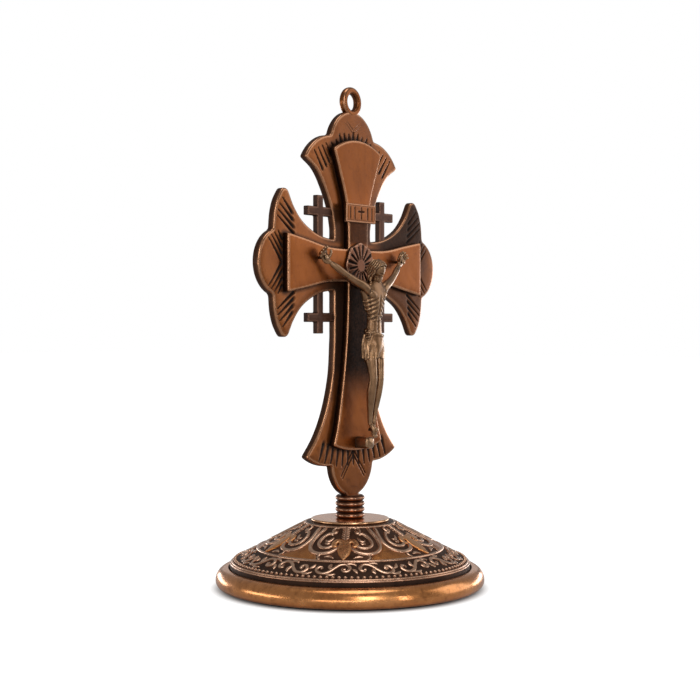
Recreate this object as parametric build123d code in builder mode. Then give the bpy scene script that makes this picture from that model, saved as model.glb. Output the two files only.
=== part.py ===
from build123d import *
import os

os.makedirs("parts", exist_ok=True)

# ---------------------------------------------------------------- base
base_r = 42.0          # widest radius of the rolled rim
rim_foot_z = 0.5       # underside of the rim, just above the pad
rim_widest_z = 2.7
rim_crest_r = 38.4
rim_crest_z = 6.6
ledge_r = 36.4         # inside of the rim, where the dome skirt rests
ledge_z = 5.0
pad_r = 38.7
pad_t = 1.0
skirt_r = 37.6         # upright edge of the dome
skirt_z = 7.9
cone_foot = (36.9, 8.35)
cone_head = (13.9, 20.45)
cone_run = cone_foot[0] - cone_head[0]
cone_rise = cone_head[1] - cone_foot[1]
dome_top_z = 20.8
dome_wall = 1.3
wire_r = 0.32          # raised wires that divide the ornament bands
wire_rings = (29.0, 36.0)
foot_wire = (37.1, 8.0)
foot_wire_r = 0.45
cap_r = 12.25
cap_t = 0.9
screw_hole_r = 2.2

# ---------------------------------------------------------------- neck
neck_groove_r = 4.0
neck_rib_r = 4.6
neck_ribs = 4
neck_rib_pitch = 1.8
neck_slot_floor_z = 26.4
screw_r = 2.0
screw_end_z = 25.4
screw_play = 0.3       # room above the end of the screw
washer_r = 5.0
washer_t = 0.8
head_r = 4.0
head_h = 2.4
head_round = 0.9
recess_length = 4.4    # cross recess for the screwdriver
recess_width = 0.9
recess_depth = 1.3

# ---------------------------------------------------------------- cross
body_back_y = 1.1
body_t = 2.5
arm_z = 100.4          # height of the crossing
stem_half = 9.3
lobe_r = 9.9
lobe_x = 35.4
dome_lobe_r = 11.4
dome_lobe_z = 137.0
tongue_half = 2.9      # tenon that drops into the neck
tongue_foot_z = 26.5
edge_bevel = 0.45
front_t = 2.1          # raised front cross
front_bevel = 0.5
cut_depth = 0.4        # depth of the graver's strokes
cut_width = 0.55
chevron_nests = 3
chevron_tilt = 48      # degrees each stroke leans off the lobe's own line
wing_cut_tilt = 42
shoulder_cut_tilt = 56
hem_rays = 13
hem_ray_length = 2.8
hem_ray_turn = 3.15    # degrees from one ray to the next
hem_ray_reach = 40.8   # middle of a ray, measured from the point they spread from
hem_centre = (0, 82.0)

body_front_y = body_back_y - body_t
front_y = body_front_y - front_t

# ---------------------------------------------------------------- small crosses
bar_half = 1.4
bar_x = 16.0
bar_z = 16.1           # crossbar height above and below the crossing
bar_reach_x = 22.0
bar_reach_z = 21.0
bar_root = 7.0         # how near the middle lines the bars begin, inside the plate
bar_t = 2.1

# ---------------------------------------------------------------- fittings
loop_r = 4.7
loop_hole_r = 2.45
loop_z = 151.4
loop_t = 2.4
loop_round = 0.7
loop_back_y = 1.05
plaque_half = 7.6
plaque_z = 116.6
plaque_h = 5.8
plaque_t = 1.0
plaque_border = 0.6
plaque_sink = 0.35     # how deep the panel lies inside its border
plaque_cut = 0.25      # how deep the motif is cut below the panel
nimbus_r = 7.2
nimbus_t = 0.9
nimbus_rays = 8
groove_depth = 0.5
groove_width = 0.6
rivet_r = 1.0
rivet_head_r = 1.7
rivet_head_t = 0.5
rivet_spots = ((0, 128.0), (-25.0, arm_z), (25.0, arm_z), (0, 62.0))


def facing(y):
    """Plane square to the front, with sketches read as (x, height)."""
    return Plane.XZ.offset(-y)


def cone_z(r):
    """Height of the cone's outer surface at a radius."""
    return cone_foot[1] + (cone_foot[0] - r) * cone_rise / cone_run


def save(builder, name):
    builder.part.label = name
    export_step(builder.part, f"parts/{name}.step")
    print(name, round(builder.part.volume, 1), "mm3")


# ================================================================ base
with BuildPart() as base_pad:
    Cylinder(pad_r, pad_t, align=(Align.CENTER, Align.CENTER, Align.MIN))
    fillet(base_pad.edges().group_by(Axis.Z)[0], 0.2)
save(base_pad, "base_pad")

with BuildPart() as base_rim:
    with BuildSketch(Plane.XZ):
        with BuildLine():
            Polyline((pad_r + 0.1, pad_t), (pad_r + 0.1, rim_foot_z), (40.0, rim_foot_z))
            ThreePointArc((40.0, rim_foot_z), (41.4, 1.2), (base_r, rim_widest_z))
            ThreePointArc((base_r, rim_widest_z), (41.1, 5.2), (rim_crest_r, rim_crest_z))
            Polyline(
                (rim_crest_r, rim_crest_z),
                (skirt_r + 0.3, rim_crest_z - 0.4),
                (skirt_r + 0.3, ledge_z),
                (ledge_r, ledge_z),
                (ledge_r, pad_t),
                (pad_r + 0.1, pad_t),
            )
        make_face()
    revolve(axis=Axis.Z)
save(base_rim, "base_rim")

inner_drop = dome_wall * Vector(cone_run, cone_rise).length / cone_run   # the wall measured upright
with BuildPart() as base_dome:
    with BuildSketch(Plane.XZ):
        with BuildLine():
            Polyline(
                (ledge_r, ledge_z),
                (skirt_r, ledge_z),
                (skirt_r, skirt_z),
                cone_foot,
                cone_head,
                (cap_r + 0.6, dome_top_z),
                (screw_hole_r, dome_top_z),
                (screw_hole_r, dome_top_z - dome_wall),
                (cap_r + 0.6, dome_top_z - dome_wall),
                (ledge_r, cone_z(ledge_r) - inner_drop),
                (ledge_r, ledge_z),
            )
        make_face()
        for ring in wire_rings:
            with Locations((ring, cone_z(ring))):
                Circle(wire_r)
        with Locations(foot_wire):
            Circle(foot_wire_r)
    revolve(axis=Axis.Z)
save(base_dome, "base_dome")

with BuildPart() as cap_disc:
    with Locations((0, 0, dome_top_z)):
        Cylinder(cap_r, cap_t, align=(Align.CENTER, Align.CENTER, Align.MIN))
    fillet(cap_disc.edges().group_by(Axis.Z)[-1], 0.35)
    Hole(screw_hole_r)
save(cap_disc, "cap_disc")

# ================================================================ neck and its screw
neck_foot_z = dome_top_z + cap_t
neck_top_z = neck_foot_z + neck_ribs * neck_rib_pitch
with BuildPart() as neck_collar:
    with BuildSketch(Plane.XZ):
        with BuildLine():
            for rib in range(neck_ribs):
                low = neck_foot_z + rib * neck_rib_pitch
                high = low + neck_rib_pitch
                ThreePointArc(
                    (neck_groove_r, low), (neck_rib_r, (low + high) / 2), (neck_groove_r, high)
                )
            Polyline(
                (neck_groove_r, neck_top_z),
                (0, neck_top_z),
                (0, screw_end_z + screw_play),
                (screw_r + 0.05, screw_end_z + screw_play),
                (screw_r + 0.05, neck_foot_z),
                (neck_groove_r, neck_foot_z),
            )
        make_face()
    revolve(axis=Axis.Z)
    with BuildSketch(Plane.XY.offset(neck_top_z)):
        with Locations((0, body_back_y - body_t / 2)):
            Rectangle(2 * tongue_half + 0.2, body_t + 0.1)
    extrude(amount=neck_slot_floor_z - neck_top_z, mode=Mode.SUBTRACT)
save(neck_collar, "neck_collar")

washer_z = dome_top_z - dome_wall - washer_t
with BuildPart() as fixing_washer:
    with BuildSketch(Plane.XY.offset(washer_z)):
        Circle(washer_r)
        Circle(screw_hole_r, mode=Mode.SUBTRACT)
    extrude(amount=washer_t)
save(fixing_washer, "fixing_washer")

with BuildPart() as fixing_screw:
    with BuildSketch(Plane.XY.offset(washer_z - head_h)):
        Circle(head_r)
    extrude(amount=head_h)
    fillet(fixing_screw.edges().group_by(Axis.Z)[0], head_round)
    with BuildSketch(Plane.XY.offset(washer_z)):
        Circle(screw_r)
    extrude(amount=screw_end_z - washer_z)
    chamfer(fixing_screw.edges().group_by(Axis.Z)[-1], 0.4)
    with BuildSketch(Plane.XY.offset(washer_z - head_h)):
        Rectangle(recess_length, recess_width)
        Rectangle(recess_width, recess_length)
    extrude(amount=recess_depth, mode=Mode.SUBTRACT)
save(fixing_screw, "fixing_screw")

# ================================================================ back plate of the cross
wing_inner = ((10.6, 108.3), (15.0, 108.9), (19.8, 110.4), (25.2, 113.4), (29.0, 117.4), (31.1, 120.9))
wing_outer = ((34.9, 121.3), (36.6, 118.8), (37.9, 115.0), (38.5, 109.8))
wing_tip = (33.1, 122.4)
shoulder_tip = (23.7, 132.4)
bell_tip = (23.2, 42.2)
leaf_notch = (10.6, 38.7)
leaf_foot_z = 28.4
leaf_top_z = 41.0
stem_top_z = 111.5
fan_notch = (10.97, 140.1)
tip_r = 0.7


def below(points):
    """The same points seen across the level line of the arms, in the opposite order."""
    return [(x, 2 * arm_z - z) for x, z in reversed(points)]


with BuildPart() as crown_lobe:
    with BuildSketch(facing(body_back_y)):
        with Locations((0, dome_lobe_z)):
            Circle(dome_lobe_r)
    extrude(amount=body_t)
    chamfer(crown_lobe.faces().sort_by(Axis.Y)[0].edges(), edge_bevel)

with BuildPart() as top_fan:
    with BuildSketch(facing(body_back_y)) as fan_outline:
        with BuildLine():
            Polyline((0, stem_top_z), (0, fan_notch[1]), fan_notch)
            ThreePointArc(fan_notch, (17.7, 138.2), shoulder_tip)
            Spline(shoulder_tip, (18.0, 128.9), (13.6, 123.0), (10.6, 116.8), (stem_half, stem_top_z))
            Line((stem_half, stem_top_z), (0, stem_top_z))
        make_face()
        mirror(about=Plane.YZ)
        fillet(fan_outline.vertices().filter_by(lambda v: abs(v.X) > 20), tip_r)
    extrude(amount=body_t)
    chamfer(top_fan.faces().sort_by(Axis.Y)[0].edges(), edge_bevel)

with BuildPart() as side_lobes:
    with BuildSketch(facing(body_back_y)):
        with Locations((lobe_x, arm_z), (-lobe_x, arm_z)):
            Circle(lobe_r)
    extrude(amount=body_t)
    chamfer(side_lobes.edges().filter_by(GeomType.CIRCLE).group_by(Axis.Y)[0], edge_bevel)

with BuildPart() as wings:
    with BuildSketch(facing(body_back_y)):
        with BuildLine():
            Line((0, wing_inner[0][1]), wing_inner[0])
            Spline(*wing_inner)
            ThreePointArc(wing_inner[-1], wing_tip, wing_outer[0])
            Spline(*wing_outer)
            Line(wing_outer[-1], below(wing_outer)[0])
            Spline(*below(wing_outer))
            ThreePointArc(
                below(wing_outer)[-1], (wing_tip[0], 2 * arm_z - wing_tip[1]), below(wing_inner)[0]
            )
            Spline(*below(wing_inner))
            Polyline(below(wing_inner)[-1], (0, below(wing_inner)[-1][1]), (0, wing_inner[0][1]))
        make_face()
        mirror(about=Plane.YZ)
    extrude(amount=body_t)
    chamfer(wings.faces().sort_by(Axis.Y)[0].edges(), edge_bevel)

with BuildPart() as stem_bell:
    with BuildSketch(facing(body_back_y)) as bell_outline:
        with BuildLine():
            Polyline((0, leaf_notch[1]), (0, stem_top_z + 1), (stem_half, stem_top_z + 1), (stem_half, 78.0))
            Spline((stem_half, 78.0), (10.4, 66.0), (13.9, 55.0), (18.2, 47.7), bell_tip)
            ThreePointArc(bell_tip, (17.6, 39.6), leaf_notch)
            Line(leaf_notch, (0, leaf_notch[1]))
        make_face()
        mirror(about=Plane.YZ)
        fillet(bell_outline.vertices().filter_by(lambda v: abs(v.X) > 20), tip_r)
    extrude(amount=body_t)
    chamfer(stem_bell.faces().sort_by(Axis.Y)[0].edges(), edge_bevel)

with BuildPart() as foot_leaf:
    with BuildSketch(facing(body_back_y)):
        with BuildLine():
            Polyline((0, leaf_foot_z), (0, leaf_top_z), leaf_notch)
            ThreePointArc(leaf_notch, (8.0, 32.3), (0, leaf_foot_z))
        make_face()
        mirror(about=Plane.YZ)
    extrude(amount=body_t)
    chamfer(foot_leaf.faces().sort_by(Axis.Y)[0].edges(), edge_bevel)

with BuildPart() as cross_body:
    for zone in (wings, stem_bell, top_fan, crown_lobe, side_lobes, foot_leaf):
        add(zone.part)
    with BuildSketch(facing(body_back_y)):
        with Locations((0, (tongue_foot_z + 31.0) / 2)):
            Rectangle(2 * tongue_half, 31.0 - tongue_foot_z)
    extrude(amount=body_t)

    # engraved chevrons: three nested on each lobe, their points towards the crossing
    lobes = (
        ((0, 140.2), 90, 6.0, 2.0),
        ((lobe_x, arm_z), 0, 6.4, 1.5),
        ((-lobe_x, arm_z), 180, 6.4, 1.5),
        ((0, 41.6), 270, 6.6, 1.6),
    )
    for (px, pz), heading, reach, step in lobes:
        along = Vector(1, 0).rotate(Axis.Z, heading)
        for nest in range(chevron_nests):
            length = reach - nest
            for side in (-1, 1):
                lean = heading + side * chevron_tilt
                stroke = Vector(1, 0).rotate(Axis.Z, lean)
                middle = Vector(px, pz) + along * (nest * step) + stroke * (length / 2)
                with BuildSketch(facing(body_front_y)):
                    with Locations((middle.X, middle.Y)):
                        SlotOverall(length, cut_width, rotation=lean)
                extrude(amount=-cut_depth, mode=Mode.SUBTRACT)

    # short strokes on the wings and on the top shoulders
    for side in (-1, 1):
        for nest in range(chevron_nests):
            wing_cut = 5.2 - 0.8 * nest
            for level in (-1, 1):
                with BuildSketch(facing(body_front_y)):
                    with Locations((side * (34.6 - 0.9 * nest), arm_z + level * (12.6 + 1.5 * nest))):
                        SlotOverall(wing_cut, cut_width, rotation=-side * level * wing_cut_tilt)
                extrude(amount=-cut_depth, mode=Mode.SUBTRACT)
            shoulder_cut = 5.4 - 0.9 * nest
            with BuildSketch(facing(body_front_y)):
                with Locations((side * (14.4 + 1.7 * nest), 134.6 - 0.7 * nest)):
                    SlotOverall(shoulder_cut, cut_width, rotation=side * shoulder_cut_tilt)
            extrude(amount=-cut_depth, mode=Mode.SUBTRACT)

    # rays cut round the hem, spreading from a point up the stem
    for ray in range(hem_rays):
        angle = (ray - (hem_rays - 1) / 2) * hem_ray_turn
        heading = Vector(0, -1).rotate(Axis.Z, angle)
        middle = Vector(*hem_centre) + heading * hem_ray_reach
        with BuildSketch(facing(body_front_y)):
            with Locations((middle.X, middle.Y)):
                SlotOverall(hem_ray_length, cut_width, rotation=90 + angle)
        extrude(amount=-cut_depth, mode=Mode.SUBTRACT)

    with BuildSketch(facing(body_back_y)):
        with Locations(*rivet_spots):
            Circle(rivet_r)
    extrude(amount=body_t, mode=Mode.SUBTRACT)
save(cross_body, "cross_body")

# ================================================================ raised front cross
front_arm_top = ((4.9, 105.4), (15.0, 105.8), (25.0, 107.6), (34.4, 109.2))
with BuildPart() as front_cross:
    with BuildSketch(facing(body_front_y)):
        with BuildLine():
            ThreePointArc((0, 139.3), (6.4, 138.4), (12.2, 135.8))
            Spline((12.2, 135.8), (9.2, 128.5), (6.5, 121.0), (5.1, 113.5), front_arm_top[0])
            Spline(*front_arm_top)
            Line(front_arm_top[-1], below(front_arm_top)[0])
            Spline(*below(front_arm_top))
            Spline(
                below(front_arm_top)[-1], (5.7, 80.0), (6.8, 70.0), (8.5, 60.0), (10.7, 50.0), (12.4, 45.1)
            )
            ThreePointArc((12.4, 45.1), (6.4, 43.5), (0, 43.0))
            Line((0, 43.0), (0, 139.3))
        make_face()
        mirror(about=Plane.YZ)
    extrude(amount=front_t)
    chamfer(front_cross.faces().sort_by(Axis.Y)[0].edges(), front_bevel)
    with BuildSketch(facing(body_front_y)):
        with Locations(*rivet_spots):
            Circle(rivet_r)
    extrude(amount=front_t / 2, mode=Mode.SUBTRACT)
save(front_cross, "front_cross")

with BuildPart() as overlay_rivets:
    with BuildSketch(facing(body_back_y)):
        with Locations(*rivet_spots):
            Circle(rivet_r)
    extrude(amount=body_t + front_t / 2)
    with BuildSketch(facing(body_back_y)):
        with Locations(*rivet_spots):
            Circle(rivet_head_r)
    extrude(amount=-rivet_head_t)
save(overlay_rivets, "overlay_rivets")

# ================================================================ four small crosses in the corners
corners = (
    ("upper_left", -1, 1),
    ("upper_right", 1, 1),
    ("lower_left", -1, -1),
    ("lower_right", 1, -1),
)
for corner, side, level in corners:
    with BuildPart() as corner_cross:
        with BuildSketch(facing(body_back_y)):
            with Locations((side * bar_x, arm_z + level * (bar_root + bar_reach_z) / 2)):
                Rectangle(2 * bar_half, bar_reach_z - bar_root)
            with Locations((side * (bar_root + bar_reach_x) / 2, arm_z + level * bar_z)):
                Rectangle(bar_reach_x - bar_root, 2 * bar_half)
        extrude(amount=bar_t)
        add(cross_body.part, mode=Mode.SUBTRACT)
    save(corner_cross, f"corner_cross_{corner}")

# ================================================================ hanging loop
with BuildPart() as hanging_loop:
    with BuildSketch(facing(loop_back_y)):
        with Locations((0, loop_z)):
            Circle(loop_r)
    extrude(amount=loop_t)
    fillet(hanging_loop.edges().filter_by(GeomType.CIRCLE), loop_round)
    with BuildSketch(facing(loop_back_y)):
        with Locations((0, loop_z)):
            Circle(loop_hole_r)
    extrude(amount=loop_t, mode=Mode.SUBTRACT)
    add(cross_body.part, mode=Mode.SUBTRACT)
    with BuildSketch(facing(body_back_y + 1)):
        with Locations((0, dome_lobe_z)):
            Circle(dome_lobe_r)
    extrude(amount=body_t + 2, mode=Mode.SUBTRACT)
save(hanging_loop, "hanging_loop")

# ================================================================ title plaque
with BuildPart() as title_plaque:
    with BuildSketch(facing(front_y)):
        with Locations((0, plaque_z)):
            RectangleRounded(2 * plaque_half, plaque_h, 0.5)
    extrude(amount=plaque_t)
    with BuildSketch(facing(front_y - plaque_t)):
        with Locations((0, plaque_z)):
            RectangleRounded(2 * (plaque_half - plaque_border), plaque_h - 2 * plaque_border, 0.3)
    extrude(amount=-plaque_sink, mode=Mode.SUBTRACT)
    # a plain engraved cross between two bars, in place of letters
    with BuildSketch(facing(front_y - plaque_t + plaque_sink)):
        with Locations((0, plaque_z)):
            Rectangle(0.7, 3.6)
        with Locations((0, plaque_z + 0.5)):
            Rectangle(2.4, 0.7)
        with Locations((-4.4, plaque_z), (4.4, plaque_z)):
            Rectangle(0.6, 3.4)
    extrude(amount=-plaque_cut, mode=Mode.SUBTRACT)
save(title_plaque, "title_plaque")

# ================================================================ rayed nimbus
with BuildPart() as nimbus:
    with BuildSketch(facing(front_y)):
        with Locations((0, arm_z)):
            Circle(nimbus_r)
    extrude(amount=nimbus_t)
    for ray in range(nimbus_rays):
        angle = (ray + 0.5) * 360 / nimbus_rays
        centre = Vector(nimbus_r * 0.6, 0).rotate(Axis.Z, angle)
        with BuildSketch(facing(front_y - nimbus_t)):
            with Locations((centre.X, arm_z + centre.Y)):
                SlotOverall(nimbus_r * 1.1, groove_width, rotation=angle)
        extrude(amount=-groove_depth, mode=Mode.SUBTRACT)
    chamfer(nimbus.edges().filter_by(GeomType.CIRCLE).sort_by(Axis.Y)[:1], 0.1)
save(nimbus, "nimbus")

# ================================================================ foot rest and figure
rest_half = 2.2
rest_front_y = -8.5
rest_low_z = 43.6
rest_high_z = 47.4
with BuildPart() as foot_rest:
    with BuildSketch(facing(front_y)):
        with Locations((0, (rest_low_z + rest_high_z) / 2)):
            Rectangle(2 * rest_half, rest_high_z - rest_low_z)
    extrude(amount=front_y - rest_front_y)
    fillet(foot_rest.faces().sort_by(Axis.Y)[0].edges(), 0.5)
save(foot_rest, "foot_rest")


def mirrored(point, side):
    """The point on the figure's other side when side is -1."""
    return (side * point[0], point[1], point[2])


def limb(start, end, start_r, end_r):
    """Tapered round limb with a ball at each end, in the open builder."""
    start = Vector(*start)
    end = Vector(*end)
    with Locations(Plane(origin=start, z_dir=end - start)):
        Cone(
            start_r,
            end_r,
            (end - start).length,
            align=(Align.CENTER, Align.CENTER, Align.MIN),
        )
    with Locations(start):
        Sphere(start_r)
    with Locations(end):
        Sphere(end_r)


# level, half width, half depth and middle of the trunk, from the hips up to the shoulders
trunk = (
    (73.6, 4.5, 2.6, -8.7),
    (78.0, 4.7, 2.8, -8.9),
    (82.6, 3.7, 2.2, -9.3),
    (87.0, 4.3, 2.4, -9.6),
    (91.5, 5.2, 2.6, -9.7),
    (94.8, 4.6, 1.9, -9.6),
)
shoulder = (6.0, -9.5, 93.8)
elbow = (12.6, -7.9, 97.4)
wrist = (18.0, -6.0, 100.9)
palm = (20.0, -5.3, 102.2)
hip = (2.3, -8.9, 75.0)
knee = (2.3, -10.4, 65.6)
ankle = (0.9, -8.4, 50.6)
toe = (0.5, -8.6, 48.4)
palm_half = 1.5
nail_r = 0.42
nail_hole_r = 0.45
nail_head_r = 0.8
nail_head_t = 0.5
foot_nail_z = 49.6
foot_nail_length = 6.4
with BuildPart() as corpus:
    for level, half_width, half_depth, middle_y in trunk:
        with BuildSketch(Plane.XY.offset(level)):
            with Locations((0, middle_y)):
                Ellipse(half_width, half_depth)
    loft()
    for side in (-1, 1):
        joints = (shoulder, elbow, wrist, palm)
        girths = (2.0, 1.35, 0.95, 1.5)
        for near in range(3):
            limb(mirrored(joints[near], side), mirrored(joints[near + 1], side), *girths[near:near + 2])
        joints = (hip, knee, ankle, toe)
        girths = (2.5, 1.75, 1.05, 1.0)
        for near in range(3):
            limb(mirrored(joints[near], side), mirrored(joints[near + 1], side), *girths[near:near + 2])
    limb((0, -9.7, 94.5), (-0.2, -10.6, 96.6), 1.7, 1.6)
    limb((-0.3, -11.0, 99.4), (-0.2, -12.4, 96.2), 3.3, 2.1)
    with Locations((0, front_y - 10, 0)):
        Box(60, 20, 200, align=(Align.CENTER, Align.CENTER, Align.MIN), mode=Mode.INTERSECT)
    add(foot_rest.part, mode=Mode.SUBTRACT)
    with BuildSketch(facing(front_y)):
        with Locations((-palm[0], palm[2]), (palm[0], palm[2])):
            Circle(nail_hole_r)
        with Locations((0, foot_nail_z)):
            Circle(nail_hole_r)
    extrude(amount=12, mode=Mode.SUBTRACT)
save(corpus, "corpus")

with BuildPart() as hand_nails:
    with BuildSketch(facing(front_y)):
        with Locations((-palm[0], palm[2]), (palm[0], palm[2])):
            Circle(nail_r)
    extrude(amount=front_y - (palm[1] - palm_half))
    with BuildSketch(facing(palm[1] - palm_half)):
        with Locations((-palm[0], palm[2]), (palm[0], palm[2])):
            Circle(nail_head_r)
    extrude(amount=nail_head_t)
save(hand_nails, "hand_nails")

with BuildPart() as foot_nail:
    with BuildSketch(facing(front_y)):
        with Locations((0, foot_nail_z)):
            Circle(nail_r)
    extrude(amount=foot_nail_length)
    with BuildSketch(facing(front_y - foot_nail_length)):
        with Locations((0, foot_nail_z)):
            Circle(nail_head_r)
    extrude(amount=nail_head_t)
save(foot_nail, "foot_nail")
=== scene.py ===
import math

import bpy
import numpy as np
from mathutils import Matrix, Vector
from mathutils.geometry import delaunay_2d_cdt


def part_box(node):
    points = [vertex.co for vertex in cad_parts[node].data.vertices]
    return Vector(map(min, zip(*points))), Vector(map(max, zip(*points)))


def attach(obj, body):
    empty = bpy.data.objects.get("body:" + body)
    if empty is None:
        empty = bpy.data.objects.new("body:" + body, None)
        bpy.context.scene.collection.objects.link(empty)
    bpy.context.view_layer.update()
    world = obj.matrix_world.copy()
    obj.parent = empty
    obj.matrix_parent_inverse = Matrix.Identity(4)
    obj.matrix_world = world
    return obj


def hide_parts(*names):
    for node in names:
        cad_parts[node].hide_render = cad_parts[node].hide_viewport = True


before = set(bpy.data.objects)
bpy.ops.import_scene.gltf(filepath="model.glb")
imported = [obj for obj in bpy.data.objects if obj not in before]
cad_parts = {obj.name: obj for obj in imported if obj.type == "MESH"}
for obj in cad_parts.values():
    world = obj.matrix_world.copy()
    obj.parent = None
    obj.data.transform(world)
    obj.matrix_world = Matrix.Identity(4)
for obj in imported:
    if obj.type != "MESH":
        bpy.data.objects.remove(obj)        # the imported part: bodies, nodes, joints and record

mm = 0.001
turn = 2 * math.pi
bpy.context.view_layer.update()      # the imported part's box, before anything is replaced
print("frame loaded")


# shapes: whole arrays of points, in millimetres until makePiece scales them

def unit(v):
    # each row of v divided by its own length
    return v / np.maximum(np.linalg.norm(v, axis=-1, keepdims=True), 1e-12)


def blendStep(a, b, x):
    # 0 below a, 1 above b, an S curve between
    t = np.clip((x - a) / (b - a), 0, 1)
    return t * t * (3 - 2 * t)


def sheetFaces(rows, cols, joinRows=False, joinCols=False):
    # quads of a rows by cols sheet of points, joined round where asked
    i, j = np.meshgrid(
        np.arange(rows - (not joinRows)), np.arange(cols - (not joinCols)), indexing="ij")
    nextI, nextJ = (i + 1) % rows, (j + 1) % cols
    corners = [i * cols + j, nextI * cols + j, nextI * cols + nextJ, i * cols + nextJ]
    return np.stack(corners, -1).reshape(-1, 4)


def shell(points, quads=None, tris=None, **marks):
    # a closed skin: points, faces and per-point marks, turned inside out if its volume comes out negative
    quads = np.zeros((0, 4), int) if quads is None else quads
    tris = np.zeros((0, 3), int) if tris is None else tris
    every = np.concatenate([tris, quads[:, [0, 1, 2]], quads[:, [0, 2, 3]]])
    centred = points - points.mean(0)
    a, b, c = centred[every[:, 0]], centred[every[:, 1]], centred[every[:, 2]]
    if np.einsum("ij,ij->", a, np.cross(b, c)) < 0:
        quads, tris = quads[:, ::-1], tris[:, ::-1]
    return {"points": points, "quads": quads, "tris": tris, "marks": marks}


def tube(rings, **marks):
    # rings (n, k, 3) joined into a skin, each end closed on its own middle point
    n, k = rings.shape[:2]
    points = np.concatenate([rings.reshape(-1, 3), rings[:1].mean(1), rings[-1:].mean(1)])
    around = np.arange(k)
    beside = (around + 1) % k
    first = np.stack([beside, around, np.full(k, n * k)], -1)
    last = np.stack([around + (n - 1) * k, beside + (n - 1) * k, np.full(k, n * k + 1)], -1)
    full = {}
    for name, value in marks.items():
        grid = np.broadcast_to(np.asarray(value, float), (n, k))
        full[name] = np.concatenate([grid.ravel(), grid[:1].mean(1), grid[-1:].mean(1)])
    return shell(points, sheetFaces(n, k, joinCols=True), np.concatenate([first, last]), **full)


def rope(path, up, halfWide, halfHigh, ring=10, flat=1.0, **marks):
    # a wire carried along a path: an oval across it at each point, its top turned towards up; flat below 1
    # squares the oval
    path, up = np.asarray(path, float), np.broadcast_to(np.asarray(up, float), np.shape(path))
    along = unit(np.gradient(path, axis=0))
    side = unit(np.cross(along, up))
    top = np.cross(side, along)
    a = np.arange(ring) / ring * turn
    wide = np.broadcast_to(halfWide, len(path))[:, None, None]
    high = np.broadcast_to(halfHigh, len(path))[:, None, None]
    across, rise = [np.sign(v) * np.abs(v) ** flat for v in (np.cos(a), np.sin(a))]
    sideways = side[:, None] * wide * across[None, :, None]
    upwards = top[:, None] * high * rise[None, :, None]
    return tube(path[:, None] + sideways + upwards, **marks)


def smoothLine(knots, count):
    # an even curve through the knots: cubic pieces whose slopes are the neighbours' mean slope
    knots = np.asarray(knots, float)
    step = np.linalg.norm(np.diff(knots, axis=0), axis=1) ** 0.5
    at = np.concatenate([[0], np.cumsum(step)])
    slope = np.gradient(knots, at, axis=0)
    t = np.linspace(0, at[-1], count)
    k = np.clip(np.searchsorted(at, t, side="right") - 1, 0, len(knots) - 2)
    h = (at[k + 1] - at[k])[:, None]
    u = (t - at[k])[:, None] / h
    p, q, m, n = knots[k], knots[k + 1], slope[k] * h, slope[k + 1] * h
    return ((2 * u**3 - 3 * u**2 + 1) * p + (u**3 - 2 * u**2 + u) * m
            + (3 * u**2 - 2 * u**3) * q + (u**3 - u**2) * n)


def softEnds(count, run=0.12, least=0.05):
    # 1 along the middle of a stroke, rounded off towards least at both ends
    u = np.linspace(0, 1, count)
    e = np.clip(np.minimum(u, 1 - u) / run, 0, 1)
    return least + (1 - least) * np.sqrt(1 - (1 - e) ** 2)


def lathe(profile, steps, **marks):
    # a closed profile of (radius, height) pairs spun round the upright axis
    profile = np.asarray(profile, float)
    a = np.arange(steps) / steps * turn
    points = np.stack([
        profile[:, None, 0] * np.sin(a), -profile[:, None, 0] * np.cos(a), profile[:, None, 1] + 0 * a,
    ], -1)
    full = {k: np.repeat(np.asarray(v, float), steps) for k, v in marks.items()}
    return shell(points.reshape(-1, 3), sheetFaces(len(profile), steps, True, True), **full)


def evenLoop(corners, gap):
    # a closed outline walked round in even steps of about gap
    closed = np.concatenate([corners, corners[:1]])
    run = np.concatenate([[0], np.cumsum(np.linalg.norm(np.diff(closed, axis=0), axis=1))])
    count = max(12, int(run[-1] / gap))
    at = np.arange(count) / count * run[-1]
    return np.stack([np.interp(at, run, closed[:, c]) for c in (0, 1)], -1)


def joinShells(shells):
    # several skins end to end: their points, quads and triangles, and where each skin's points start
    starts = np.cumsum([0] + [len(s["points"]) for s in shells])
    points = np.concatenate([s["points"] for s in shells])
    quads = np.concatenate([s["quads"] + start for s, start in zip(shells, starts)])
    tris = np.concatenate([s["tris"] + start for s, start in zip(shells, starts)])
    return points, quads, tris, starts


def makePiece(name, shells, material, nodes=(), sharp=40):
    # one mesh object from several skins, in metres, riding on the only body
    points, quads, tris, starts = joinShells(shells)
    corners = np.concatenate([quads.ravel(), tris.ravel()]).astype(np.int32)
    first = np.concatenate([np.arange(len(quads)) * 4, len(quads) * 4 + np.arange(len(tris)) * 3])
    mesh = bpy.data.meshes.new(name)
    mesh.vertices.add(len(points))
    mesh.vertices.foreach_set("co", (points * mm).astype(np.float32).ravel())
    mesh.loops.add(len(corners))
    mesh.loops.foreach_set("vertex_index", corners)
    mesh.polygons.add(len(first))
    mesh.polygons.foreach_set("loop_start", first.astype(np.int32))
    marks = {}
    for s, start in zip(shells, starts):
        for mark, part in s["marks"].items():
            values = marks.setdefault(mark, np.zeros(len(points), np.float32))
            values[start:start + len(part)] = part
    for mark, values in marks.items():
        mesh.attributes.new(mark, "FLOAT", "POINT").data.foreach_set("value", values)
    mesh.update(calc_edges=True)
    mesh.validate()
    mesh.set_sharp_from_angle(angle=math.radians(sharp))
    mesh.materials.append(material)
    piece = bpy.data.objects.new(name, mesh)
    bpy.context.scene.collection.objects.link(piece)
    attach(piece, "root")
    if nodes:
        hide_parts(*nodes)
    print("made", name, len(quads) * 2 + len(tris), "triangles")
    return piece


# materials: a socket wrapper, so that shader maths reads as Python

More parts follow.
